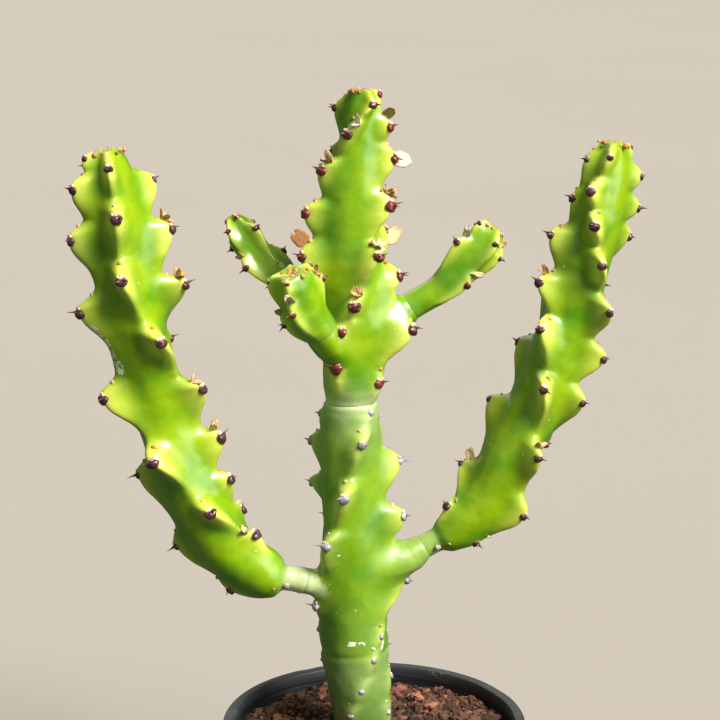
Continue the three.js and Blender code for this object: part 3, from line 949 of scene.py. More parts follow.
        # Strength of the painted shade at each ring.
        age = smooth_column(self.plan.age, stations, 1)
        columns, rows = radii.shape[1], len(stations) - 1
        shape, layers = new_part("crest", "bloom", "age", "scar")
        for vert in add_grid(shape, (columns, rows)):
            column = round((vert.co.x + 0.5) * columns) % columns
            row = round((vert.co.y + 0.5) * rows)
            vert.co = places[row, column]
            vert[layers[0]] = crest[row, column]
            vert[layers[1]] = bloom[row]
            vert[layers[2]] = age[row]
        self._mark_scars(shape, layers[3])
        self._crease(shape)
        bmesh.ops.remove_doubles(shape, verts=shape.verts, dist=WELD)
        return shape

    def _mark_scars(self, shape: Shape, layer: bmesh.types.BMLayerItem) -> None:
        """Writes how scarred each point of the skin is.

        Args:
            shape: The skin.
            layer: Where to write it.
        """
        for station, degrees, size, strength in self.plan.scars:
            centre = self.point(station, degrees)
            for vert in shape.verts:
                near = 1.0 - (vert.co - centre).length / (size * MM)
                if near > 0:
                    vert[layer] = max(vert[layer], min(1.0, near * 2.0) * strength)

    def _crease(self, shape: Shape) -> None:
        """Presses growth rings into the skin and makes it slightly uneven.

        Args:
            shape: The skin.
        """
        stations = np.array([row[0] for row in self.plan.creases] or [0.0])
        points, along, _, _ = self.line.frames(stations)
        for vert in shape.verts:
            push = sum(height * noise.noise(vert.co * scale) for height, scale in self.bumps)
            for (_, depth, width), point, direction in zip(self.plan.creases, points, along):
                sag = self.crease_sag * noise.noise(vert.co * self.crease_scale)
                offset = (vert.co / MM - Vector(point)).dot(Vector(direction)) - sag
                push -= depth * math.exp(-((offset / width) ** 2))
            away = vert.co - self.axis.find(vert.co)[0]
            if away.length > 10 * WELD:
                vert.co += away.normalized() * push * MM

    def point(self, station: float, degrees: float, lift: float = 0.0) -> Vector:
        """Point of the skin at a station and an angle, in metres.

        Args:
            station: Distance along the stem.
            degrees: Angle round it.
            lift: Distance above the skin, in millimetres.

        Returns:
            The point.
        """
        at = np.array([station])
        angles, radii, _ = self.surface(at)
        full = np.append(angles[0], angles[0, 0] + 360.0)
        turn = (degrees - full[0]) % 360.0 + full[0]
        radius = float(np.interp(turn, full, np.append(radii[0], radii[0, 0]))) + lift
        return self.spot(station, degrees, radius)

    def spot(self, station: float, degrees: float, radius: float) -> Vector:
        """Place at an angle and a radius round the stem, in metres."""
        place = self.places(np.array([station]), np.array([[degrees]]), np.array([[radius]]))
        return Vector(place[0, 0]) * MM

    def directions(self, station: float, degrees: float, tilt: float) -> tuple[Vector, ...]:
        """Directions at a tubercle: sideways, up along the rib, and the way that it faces.

        Args:
            station: Distance along the stem.
            degrees: Angle round it.
            tilt: How much it faces up along the stem.

        Returns:
            Three perpendicular directions.
        """
        _, along, right, back = (Vector(part[0]) for part in self.line.frames(np.array([station])))
        turn = math.radians(degrees)
        facing = (right * math.cos(turn) + back * math.sin(turn) + along * tilt).normalized()
        side = along.cross(facing).normalized()
        return side, facing.cross(side), facing


@dataclass(frozen=True)
class NeckPlan:
    """Smooth neck on which a side stem grows, in millimetres."""

    child: StemPlan
    start: Row
    radius: float
    waist_station: float = 0.55
    waist_share: float = 0.82
    handle: float = 0.4
    bloom: float = 0.9
    bloom_rings: tuple[Row, ...] = ((0.0, 0.0), (0.4, 0.3), (0.7, 1.0), (1.0, 1.0))
    creases: Row = (0.74, 0.83, 0.92)
    crease_depth: float = 0.12
    crease_width: float = 0.35

    def plan(self) -> StemPlan:
        """The neck as a stem without tubercles.

        Returns:
            Its plan.
        """
        seam = Vector(self.child.path[0])
        normal = (Vector(self.child.path[1]) - seam).normalized()
        start = Vector(self.start)
        bend = seam - normal * (start - seam).length * self.handle
        path = (tuple(start), tuple(bend), tuple(seam))
        length = CentreLine(path).length
        waist = self.radius * self.waist_share
        root = self.child.girth[0][1]
        return StemPlan(
            name="neck",
            path=path,
            seat=True,
            girth=(
                (0.0, self.radius, self.radius),
                (length * self.waist_station, waist, waist),
                (length, root, root),
            ),
            ribs=tuple(((0.0, turn), (length, turn)) for turn in (0.0, 90.0, 180.0, 270.0)),
            bloom=tuple((length * share, self.bloom * part) for share, part in self.bloom_rings),
            creases=tuple(
                (length * share, self.crease_depth, self.crease_width) for share in self.creases
            ),
        )


# --- Sizes of the stems ---

ARM = {"hollow": 0.08, "scrap_share": 0.04, "bare_below": 12.0}
BRANCH = {"hollow": 0.1, "scrap_share": 0.3, "bloom": ((0, 0.08), (4, 0.0)), "cap_size": 0.8}

TRUNK = StemPlan(
    name="trunk",
    hollow=0.08,
    seat=True,
    scrap_share=0.0,
    old_below=104.0,
    bud_tones=(0.05, 0.1, 0.2, 0.95),
    cap_tone=(0.0, 0.2),
    path=(
        (-4.8, 0, 70), (-4.8, 0, 93), (-4.9, 0, 115), (-7.1, 0, 135), (-9.2, 0, 155),
        (-9.9, 0, 177), (-10.1, 0, 200), (-11, 0, 225), (-11.3, 0, 252), (-11, 0, 278.4),
    ),
    girth=(
        (0, 13.1, 13.1), (46, 13.1, 13.1), (53, 14, 15.5), (70, 14.9, 16.6), (100, 15.4, 17.2),
        (112, 15.6, 20), (122, 15.8, 26), (135, 15.2, 24), (150, 14.2, 25), (165, 13.6, 24),
        (180, 13.5, 23.5), (195, 13.6, 19), (203, 12.8, 14.5), (208.4, 11.8, 11.8),
    ),
    ribs=(
        ((56, -35), (72, -12), (88, 10), (104, 30), (122, 45), (142, 58), (162, 70), (182, 78),
         (198, 70)),
        ((60, 50), (76, 72), (92, 88), (110, 96), (128, 105), (147, 118), (165, 140), (186, 147),
         (200, 150)),
        ((50, 128), (65, 148), (81, 165), (97, 182), (111, 203), (144, 236, 22), (168, 263),
         (192, 286), (205, 314)),
        ((47, 230), (59, 252), (71, 276), (85, 303), (96, 322), (121, 362), (153, 354),
         (178, 372), (197, 408)),
    ),
    bloom=((0, 0.08), (60, 0.1), (84, 0.2), (88, 0.08), (104, 0.04), (130, 0.0), (178, 0.04),
           (194, 0.22), (204, 0.4), (208, 0.7)),
    # Painted shade that darkens the trunk towards its foot.
    age=((0, 1.0), (56, 0.9), (84, 0.6), (88, 0.3), (110, 0.1), (125, 0.0)),
    scars=((94, 265, 1.4, 1.4), (94, 271, 1.2, 1.4), (94.2, 280, 1.3, 1.4), (94, 286, 1.4, 1.4),
           (138, 248, 0.9, 1.25), (92, 327, 2.2, 1.1), (89, 326, 2.0, 1.1), (102, 224, 4.0, 0.5),
           (96, 236, 5.0, 0.4), (86, 215, 4.0, 0.4), (85, 240, 3.0, 0.4)),
    creases=((86.5, 0.5, 1.0), (204.6, 0.25, 0.9)),
)

CROWN = StemPlan(
    name="crown",
    hollow=0.12,
    cap_size=1.15,
    scrap_share=0.25,
    start_along=(0.0057, 0, 1),
    cap_tone=(0.7, 1.0),
    path=(
        (-11, 0, 278.7), (-9.6, 0, 297), (-8.5, 0, 316), (-10.5, 0, 336), (-12, 0, 356),
        (-10, 0, 376), (-7.5, 0, 398), (-6.4, 0, 421),
    ),
    girth=(
        (0, 11.8, 11.8), (6, 13.5, 14.5), (16, 14.5, 17.5), (35, 15, 23), (50, 14.5, 21.5),
        (70, 13.5, 23), (90, 12.2, 20.5), (106, 10.5, 18), (118, 9, 17), (130, 7.6, 13.5),
        (138, 6, 10.5), (142.9, 4.6, 7.4),
    ),
    ribs=(
        ((14, 92), (32, 118), (54, 112), (74, 105), (94, 112), (112, 128), (134, 158)),
        ((22, 216, 16.5), (70, 198), (86, 195), (106, 210), (124, 250), (137, 303)),
        ((18, 243), (36, 250, 21), (48, 270), (69, 306), (94, 336), (114, 357), (127, 350),
         (141, 365)),
        ((11, 322), (35, 345, 27), (56, 360), (76, 402), (96, 412), (115, 420), (131, 435)),
    ),
)

LEFT_ARM = StemPlan(
    name="left_arm",
    **ARM,
    cap_size=1.12,
    early_caps=((8, 249, 6.2),),
    bloom=((0, 0.95), (7, 0.8), (10, 0.25), (15, 0.0)),
    creases=((2.6, 0.22, 0.35), (5.2, 0.18, 0.3), (9.2, 0.5, 0.5)),
    path=(
        (-33.5, -6, 192.3), (-52.5, -8, 197.4), (-69, -9.5, 211), (-82, -11, 232),
        (-92, -12, 259), (-99.5, -13, 285), (-106, -14.5, 313), (-111, -16, 341),
        (-115, -17, 369), (-118, -18, 396),
    ),
    girth=(
        (0, 5.7, 5.7), (9, 5.8, 5.8), (12, 9.2, 9.6), (16, 11.2, 12.2), (22, 12, 13.8),
        (45, 13, 19), (75, 13, 22), (120, 13, 24.5), (170, 12.8, 25), (205, 12.2, 22.5),
        (222, 10, 19.5), (230, 7.8, 14.5), (234.6, 5.4, 9.6),
    ),
    ribs=(
        ((30, 110), (60, 88), (88, 84), (112, 84), (140, 70), (169, 8), (196, 7), (218, 34),
         (232, 57, 9)),
        ((9, 205, 6.6), (28, 188), (53, 172), (86, 160), (116, 125), (147, 112), (178, 115),
         (205, 125), (227, 133)),
        ((38, 334), (65, 290), (97, 250), (128, 204), (167, 200), (199, 205), (221, 215),
         (233, 212)),
        ((30, 420), (50, 388, 17), (72, 353, 20), (94, 351), (121, 337), (150, 298), (181, 271),
         (208, 277), (229, 276)),
    ),
    scars=((165, 188, 4.0, 1.2), (162, 196, 4.5, 1.15), (158, 190, 5.0, 1.15), (158, 204, 4.0, 1.0),
           (154, 196, 5.0, 1.15), (150, 199, 5.0, 1.1), (146, 202, 4.5, 0.85), (142, 206, 5, 0.9),
           (138, 212, 4.5, 0.85), (80, 262, 1.2, 0.9), (61, 242, 1.2, 0.9), (190, 273, 2, 0.7),
           (176, 258, 1.6, 0.7)),
)

RIGHT_ARM = StemPlan(
    name="right_arm",
    **ARM,
    cap_size=0.9,
    early_caps=((4.5, 291, 6.2),),
    bloom=((0, 0.25), (4, 0.3), (8, 0.1), (12, 0.0)),
    creases=((6.2, 0.3, 0.6),),
    path=(
        (24.3, 4, 206.2), (41.3, 6, 215.9), (55, 7, 231), (64, 7, 251), (75, 8, 273),
        (84, 9, 298), (91.5, 9.5, 322), (98, 10, 346), (104, 11, 370), (108.5, 12, 396),
    ),
    girth=(
        (0, 5.7, 5.7), (6, 5.8, 5.8), (10, 8, 8.8), (20, 10.6, 13.5), (35, 12.5, 19),
        (60, 12.5, 21.5), (110, 12, 22), (165, 11.8, 21), (185, 11, 19.5), (200, 9, 16.5),
        (208, 7.2, 13), (214.4, 5.2, 9.4),
    ),
    ribs=(
        ((21, 200), (45, 150), (79, 150), (111, 137), (140, 122), (165, 116), (188, 112),
         (205, 118)),
        ((7, 335, 6.8), (20, 335, 11.5), (41, 328), (69, 294), (99, 262), (125, 232), (145, 205),
         (167, 198), (186, 190, 14.5), (205, 198, 12)),
        ((25, 430), (50, 418, 17), (72, 396, 18), (97, 342, 20), (119, 345), (141, 315),
         (161, 283), (177, 260), (192, 242), (208, 260)),
        ((30, 470), (60, 462), (90, 445), (118, 430), (148, 412), (174, 390), (187, 381),
         (201, 372), (213, 390)),
    ),
    scars=tuple((station, degrees, 2.0, 0.6) for station, degrees in
                ((79, 260), (72, 270), (66, 280), (60, 290))),
)

BACK_LEFT_BRANCH = StemPlan(
    name="crown_branch_back_left",
    **BRANCH,
    cap_tone=(0.6, 0.85),
    path=((-30, 11.5, 323.2), (-41, 18, 330), (-52, 23.5, 339), (-60.5, 27, 349), (-67, 30, 358.5)),
    girth=(
        (0, 6.5, 6.5), (12, 6.3, 8.5), (25, 7, 11.5), (42, 7, 12), (50, 5.5, 9), (54.5, 3.5, 5),
    ),
    ribs=(
        ((28, 45), (49, 50)),
        ((22, 130), (44, 140)),
        ((31, 234), (49, 249)),
        ((16, 309), (43, 315), (53, 300)),
    ),
)

FRONT_LEFT_BRANCH = StemPlan(
    name="crown_branch_front_left",
    **BRANCH,
    cap_tone=(0.75, 1.0),
    path=((-25, -17.5, 315.2), (-30, -22, 323), (-34, -26, 332.5), (-37.1, -30, 343.5)),
    girth=((0, 8, 8), (6, 8, 10.5), (16, 8.5, 13), (28, 8.3, 13), (33.5, 6, 9)),
    ribs=(
        ((23, 25), (32, 30)),
        ((14, 95, 9.5), (29, 92, 11)),
        ((11, 180), (31, 172)),
        ((20, 249), (33, 255)),
    ),
)

RIGHT_BRANCH = StemPlan(
    name="crown_branch_right",
    **BRANCH,
    cap_tone=(0.65, 0.9),
    path=((17, 3, 321.8), (29, 4, 329.1), (37.5, 5, 337.8), (46, 5.5, 347.5), (54.2, 6, 358)),
    girth=(
        (0, 6.4, 6.4), (12, 6.5, 7.8), (24, 7.3, 11.5), (38, 7.3, 12.5), (47, 6, 10), (51.5, 4, 6),
    ),
    ribs=(
        ((24, 92), (48, 128)),
        ((37, 217), (50, 205)),
        ((25, 309), (47, 300)),
        ((43, 351), (51, 380)),
    ),
)

TRUNK_NECKS = (
    NeckPlan(LEFT_ARM, (-14, -1.5, 188.5), 12.5, waist_station=0.6, waist_share=0.56),
    NeckPlan(RIGHT_ARM, (-4, 1.5, 195.5), 15.0, waist_station=0.6, waist_share=0.6, bloom=0.16),
)

CROWN_NECKS = (
    NeckPlan(BACK_LEFT_BRANCH, (-13, 2.5, 313), 10.0, bloom=0.0),
    NeckPlan(FRONT_LEFT_BRANCH, (-12, -4, 300), 11.0, bloom=0.0),
    NeckPlan(RIGHT_BRANCH, (-4, 1, 310.5), 12.0, bloom=0.0),
)


class LeafTone(Enum):
    """How far a dried leaf has browned."""

    CREAM = 0.02
    TAN = 0.3
    OCHRE = 0.52
    BROWN = 0.92


@dataclass(frozen=True)
class LeafPlan:
    """A dried leaf that clings above a tubercle, in millimetres and degrees."""

    rib: int
    tubercle: int
    length: float
    width: float
    turn: float
    notched: bool
    tone: LeafTone
    curl: float = 0.6
    hanging: bool = False
    petals: int = 1
    lower: float = 0.0


LEAVES = {
    "crown": (
        LeafPlan(1, 1, 8.5, 7.4, 8, True, LeafTone.BROWN, 0.2),
        LeafPlan(2, 5, 7.6, 7.6, -24, False, LeafTone.CREAM, 0.4, True),
        LeafPlan(3, 3, 8.4, 7.0, 0, True, LeafTone.TAN, 0.35, lower=10.0),
        LeafPlan(1, 3, 3.4, 3.4, 40, False, LeafTone.TAN, 2.0, petals=4),
        LeafPlan(1, 4, 5.0, 4.6, -15, True, LeafTone.CREAM, 0.9, petals=2),
        LeafPlan(2, 6, 5.4, 4.6, 0, False, LeafTone.OCHRE, 2.2),
        LeafPlan(2, 2, 2.4, 2.6, 0, True, LeafTone.OCHRE, 2.0, petals=5),
        LeafPlan(2, 3, 2.6, 2.8, 0, True, LeafTone.TAN, 2.0, petals=5),
        LeafPlan(2, 4, 3.0, 3.0, 0, True, LeafTone.OCHRE, 2.0, petals=4),
    ),
    "left_arm": (
        LeafPlan(0, 6, 2.8, 3.0, 20, False, LeafTone.OCHRE, 2.2, petals=5),
        LeafPlan(0, 5, 2.8, 3.0, -25, False, LeafTone.OCHRE, 2.2, petals=5),
        LeafPlan(3, 3, 5.0, 3.6, 15, False, LeafTone.TAN, 1.0, petals=2),
    ),
    "right_arm": (
        LeafPlan(1, 3, 3.6, 2.8, -30, False, LeafTone.TAN, 1.2, petals=2),
        LeafPlan(0, 1, 5.0, 3.6, 10, False, LeafTone.TAN, 1.0, petals=2),
        LeafPlan(1, 6, 3.6, 2.8, 0, True, LeafTone.OCHRE, 1.4, petals=3),
    ),
    "crown_branch_right": (
        LeafPlan(2, 0, 5.4, 3.0, 0, False, LeafTone.TAN, 1.2, petals=2),
        LeafPlan(1, 0, 5.0, 3.6, 0, True, LeafTone.CREAM, 1.0, petals=2),
    ),
    "crown_branch_front_left": (
        LeafPlan(3, 0, 5.6, 4.0, 20, False, LeafTone.CREAM, 0.9, petals=2),
        LeafPlan(2, 0, 4.8, 3.4, 0, False, LeafTone.TAN, 1.1, petals=2),
    ),
}


# --- Pieces of the plant ---


@dataclass
class FusedSkin:
    """Skin of a main stem, grown together with the necks of its side stems."""

    form: StemForm
    necks: tuple[StemForm, ...]
    voxel: float = 0.75
    fillet_rings: int = 11
    fillet_rounds: int = 90
    seat_reach: float = 1.2
    last_rounds: int = 2
    layers: tuple[str, ...] = ("crest", "bloom", "age", "scar")

    def mesh(self) -> Mesh:
        """Fuses the skins.

        Returns:
            The fused mesh, with the values that its finish reads.
        """
        skins = [to_mesh(form.skin()) for form in (self.form, *self.necks)]
        values = self._read(skins)
        joined = bmesh.new()
        for skin in skins:
            joined.from_mesh(skin)
            bpy.data.meshes.remove(skin)
        settings = {"mode": "VOXEL", "voxel_size": self.voxel * MM}
        return self._dress(with_modifier(to_mesh(joined), "REMESH", settings), *values)

    def _read(self, skins: list[Mesh]) -> tuple[KDTree, np.ndarray]:
        """Reads the points and values of the separate skins.

        Args:
            skins: The skins of the stem and of its necks.

        Returns:
            The skins' points, and a row of values for each, which ends with 1 on a neck.
        """
        total = sum(len(skin.vertices) for skin in skins)
        tree = KDTree(total)
        table = np.zeros((total, len(self.layers) + 1))
        start = 0
        for number, skin in enumerate(skins):
            count = len(skin.vertices)
            for vert in skin.vertices:
                tree.insert(vert.co, start + vert.index)
            for column, name in enumerate(self.layers):
                values = np.zeros(count)
                skin.attributes[name].data.foreach_get("value", values)
                table[start:start + count, column] = values
            table[start:start + count, -1] = float(number > 0)
            start += count
        tree.balance()
        return tree, table

    def _dress(self, mesh: Mesh, tree: KDTree, table: np.ndarray) -> Mesh:
        """Gives the fused mesh its values back and rounds the joints with the necks.

        Args:
            mesh: The fused mesh, which is removed.
            tree: The separate skins' points.
            table: Their values.

        Returns:
            The dressed mesh.
        """
        shape = bmesh.new()
        shape.from_mesh(mesh)
        bpy.data.meshes.remove(mesh)
        layers = [shape.verts.layers.float.new(name) for name in self.layers]
        on_neck = {}
        for vert in shape.verts:
            near = table[tree.find(vert.co)[1]]
            for layer, value in zip(layers, near):
                vert[layer] = float(value)
            on_neck[vert] = near[-1]
        pairs = [tuple(edge.verts) for edge in shape.edges]
        joint = {vert for pair in pairs if on_neck[pair[0]] != on_neck[pair[1]] for vert in pair}
        for _ in range(self.fillet_rings):
            joint |= {edge.other_vert(vert) for vert in joint for edge in vert.link_edges}
        seats = [(Vector(neck.line.points[-1]) * MM, neck.plan.girth[-1][1] * self.seat_reach * MM)
                 for neck in self.necks]
        joint = {vert for vert in joint if all((vert.co - seat).length > near for seat, near in seats)}
        for _ in range(self.fillet_rounds):
            self._smooth(shape, list(joint))
        for _ in range(self.last_rounds):
            self._smooth(shape, shape.verts)
        return to_mesh(shape)

    def _smooth(self, shape: Shape, verts: object) -> None:
        """Moves points half-way to the middle of their neighbours.

        Args:
            shape: The skin.
            verts: The points.
        """
        bmesh.ops.smooth_vert(
            shape, verts=verts, factor=0.5, use_axis_x=True, use_axis_y=True, use_axis_z=True,
        )


@dataclass(frozen=True)
class Site:
    """One tubercle: its tip in metres, its directions, and the size of its cap."""

    station: float
    degrees: float
    tip: Vector
    axes: tuple[Vector, Vector, Vector]
    size: float

    def off(self, side: float, up: float, out: float) -> Vector:
        """Place some millimetres off the tip, to the side, up the rib and outwards."""
        return self.tip + (self.axes[0] * side + self.axes[1] * up + self.axes[2] * out) * MM


@dataclass
class Armour:
    """Horny caps, their spines, and the buds above them, on one stem."""

    form: StemForm
    seed: int
    cap_radius: float = 2.75
    cap_depth: float = 1.9
    cap_tilt: float = 0.35
    cap_lumps: tuple[Row, ...] = ((0.2, 1.25), (0.06, 4.0))
    bare_size: float = 0.6
    tip_size: float = 0.62
    growth_length: float = 60.0
    spine_length: float = 4.6
    spine_radius: float = 0.5
    spine_flare: float = 1.9
    spine_sides: tuple[Row, ...] = ((-1, 1), (-1, 1), (-1,), (1,))
    spineless_tip: float = 4.0
    pad_lumps: tuple[Row, ...] = ((0.0, 1.6), (-1.0, 1.4), (1.0, 1.35), (0.1, 0.95))
    bud_radius: float = 0.85
    bead_lump: Row = (0.22, 1.9)
    tip_buds: int = 22
    tip_tones: Row = (0.3, 0.4, 0.5, 0.6, 0.75)
    tip_sink: float = 1.25
    cap_grid: tuple[int, int] = (20, 12)
    spine_grid: tuple[int, int] = (7, 5)
    bead_grid: tuple[int, int] = (10, 7)

    def __post_init__(self) -> None:
        """Starts the random sequence and finds the tubercles."""
        self.chance = random.Random(self.seed)
        plan = self.form.plan
        rows = [row for rib in plan.ribs for row in rib if row[0] >= plan.bare_below]
        self.sites = [self._site(row) for row in (*rows, *plan.early_caps)]

    def _site(self, row: Row) -> Site:
        """Reads one tubercle of the stem's plan.

        Args:
            row: The tubercle's row in its rib.

        Returns:
            The tubercle.
        """
        plan, (station, degrees) = self.form.plan, row[:2]
        to_tip = self.form.line.length - station
        size = plan.cap_size * min(1.0, self.tip_size + to_tip / self.growth_length)
        tip = self.form.spot(station, degrees, self.form.reach(row))
        axes = self.form.directions(station, degrees, self.cap_tilt)
        return Site(station, degrees, tip, axes, self.bare_size if plan.is_old(station) else size)

    def caps(self) -> Shape:
        """Builds the caps: domes with a flattened upper side, where the felted pad lies.

        Returns:
            The caps.
        """
        shape = bmesh.new()
        chance, plan = self.chance, self.form.plan
        for site in self.sites:
            cap, (tone, dark) = new_part("tone", "dark")
            size = site.size * chance.uniform(0.9, 1.08)
            wide = self.cap_radius * chance.uniform(0.92, 1.06) * size
            tall = self.cap_radius * chance.uniform(0.88, 1.0) * size
            deep = self.cap_depth * chance.uniform(0.85, 1.1) * size
            shade = chance.uniform(*plan.cap_tone) if site.station >= plan.bare_below else 0.0
            shifts = (Vector((site.station, site.degrees, 0)), Vector((site.degrees, site.station, 0)))
            add_sphere(cap, self.cap_grid)
            for vert in cap.verts:
                lump = 1.0
                for (height, scale), shift in zip(self.cap_lumps, shifts):
                    lump += height * noise.noise(vert.co * scale + shift)
                x, y, z = vert.co * lump
                vert[dark] = max(0.0, -y) * 0.5
                vert[tone] = shade
                y = y if y < 0.1 else 0.1 + (y - 0.1) * 0.62
                z *= 1.0 - 0.22 * max(0.0, y)
                vert.co = site.off(x * wide, y * tall - 0.35 * size, z * deep - 0.75 * size)
            join_part(shape, cap)
        return shape

    def spines(self) -> Shape:
        """Builds one or two short spines on each cap, spread to the sides.

        Returns:
            The spines.
        """
        shape, (tone, dark) = new_part("tone", "dark")
        chance, plan = self.chance, self.form.plan
        for site in self.sites:
            to_tip = self.form.line.length - site.station
            if plan.is_old(site.station) or to_tip < self.spineless_tip:
                continue
            shade = chance.uniform(*plan.cap_tone)
            for hand in chance.choice(self.spine_sides):
                spread = math.radians(chance.uniform(16, 46)) * hand
                droop = chance.uniform(-0.2, 0.3)
                length = self.spine_length * site.size * chance.uniform(0.7, 1.1)
                for vert, share in self._spine(shape, site, spread, droop, length):
                    vert[tone] = shade
                    vert[dark] = 0.1 + 0.6 * share
        return shape

    def _spine(self, shape: Shape, site: Site, spread: float, droop: float,
               length: float) -> list[tuple[bmesh.types.BMVert, float]]:
        """Adds one slightly bent, tapering spine.

        Args:
            shape: Where to add it.
            site: Its tubercle.
            spread: Angle to the side, in radians.
            droop: How far it bends down the rib.
            length: Its length.

        Returns:
            Its points, each with its share of the way to the spine's point.
        """
        side, up, facing = site.axes
        root = site.off(math.sin(spread) * 1.3, -0.3, -0.1)
        ahead = (facing * math.cos(spread) + side * math.sin(spread) - up * droop).normalized()
        across = ahead.cross(up).normalized()
        other = across.cross(ahead)
        out = []
        for vert in add_grid(shape, self.spine_grid):
            turn = (vert.co.x + 0.5) * 2 * math.pi
            share = vert.co.y + 0.5
            radius = self.spine_radius * (1 - share) ** 0.8 * (1.0 + self.spine_flare * (1 - share) ** 4)
            ring = across * math.cos(turn) + other * math.sin(turn)
            bend = -up * 0.5 * share * share
            vert.co = root + (ahead * (share * length) + bend + ring * radius) * MM
            out.append((vert, share))
        return out

    def buds(self) -> Shape:
        """Builds the felted pad on each cap and the small buds above it.

        Returns:
            The buds.
        """
        shape = bmesh.new()
        chance = self.chance
        for site in self.sites:
            self._pad(shape, site)
            above = site.station + chance.uniform(4.4, 6.0)
            if above >= self.form.line.length - 2.0:
                continue
            place = self.form.point(above, site.degrees, -0.1)
            bud = self.bud_radius * chance.uniform(0.7, 1.2) * (0.45 + 0.55 * site.size)
            shade = chance.choice(self.form.plan.bud_tones)
            self._bead(shape, place, (bud * 1.15, bud, bud * 1.1), site.axes, shade)
            if chance.random() < 0.5:
                side, up, _ = site.axes
                beside = place + (side * chance.choice((-1.2, 1.2)) - up * 0.5) * bud * MM
                self._bead(shape, beside, (bud * 0.7,) * 3, site.axes, shade * 0.6)
        self._tip_cluster(shape)
        return shape

    def _pad(self, shape: Shape, site: Site) -> None:
        """Adds the felted pad on a cap's upper side, as a few flat lumps.

        Args:
            shape: Where to add it.
            site: The tubercle.
        """
        chance, size = self.chance, site.size
        shade = chance.uniform(0.0, 0.1)
        for across, rise in self.pad_lumps:
            across += chance.uniform(-0.2, 0.2)
            place = site.off(across * size, rise * size, (0.5 - 0.3 * rise) * size)
            radii = (chance.uniform(0.75, 1.05) * size, 0.75 * size, 0.6 * size)
            self._bead(shape, place, radii, site.axes, shade + chance.uniform(0.0, 0.08))

    def _tip_cluster(self, shape: Shape) -> None:
        """Crowds young buds round the growing tip.

        Args:
            shape: Where to add them.
        """
        length = self.form.line.length
        reach = self.form.reach((length, 0.0))
        along = Vector(self.form.line.frames(np.array([length]))[1][0])
        for number in range(self.tip_buds):
            degrees = number * GOLDEN_ANGLE
            radius = reach * 0.8 * math.sqrt((number + 0.5) / self.tip_buds)
            place = self.form.spot(length, degrees, radius) - along * self.tip_sink * MM
            side = self.form.directions(length, degrees, 0.0)[0]
            size = self.chance.uniform(0.7, 1.25)
            axes = (side, along.cross(side), along)
            self._bead(shape, place, (size, size, size * 1.05), axes, self.chance.choice(self.tip_tones))

    def _bead(self, shape: Shape, centre: Vector, radii: Row, axes: tuple[Vector, ...],
              shade: float) -> None:
        """Adds one lumpy bead.

        Args:
            shape: Where to add it.
            centre: Its middle.
            radii: Its three radii.
            axes: Its three directions.
            shade: Its shade.
        """
        bead, (tone,) = new_part("tone")
        add_sphere(bead, self.bead_grid)
        height, scale = self.bead_lump
        for vert in bead.verts:
            lump = 1.0 + height * noise.noise(vert.co * scale + centre / MM)
            parts = [axis * part * radius for axis, part, radius in zip(axes, vert.co * lump, radii)]
            vert.co = centre + (parts[0] + parts[1] + parts[2]) * MM
            vert[tone] = shade
        join_part(shape, bead)


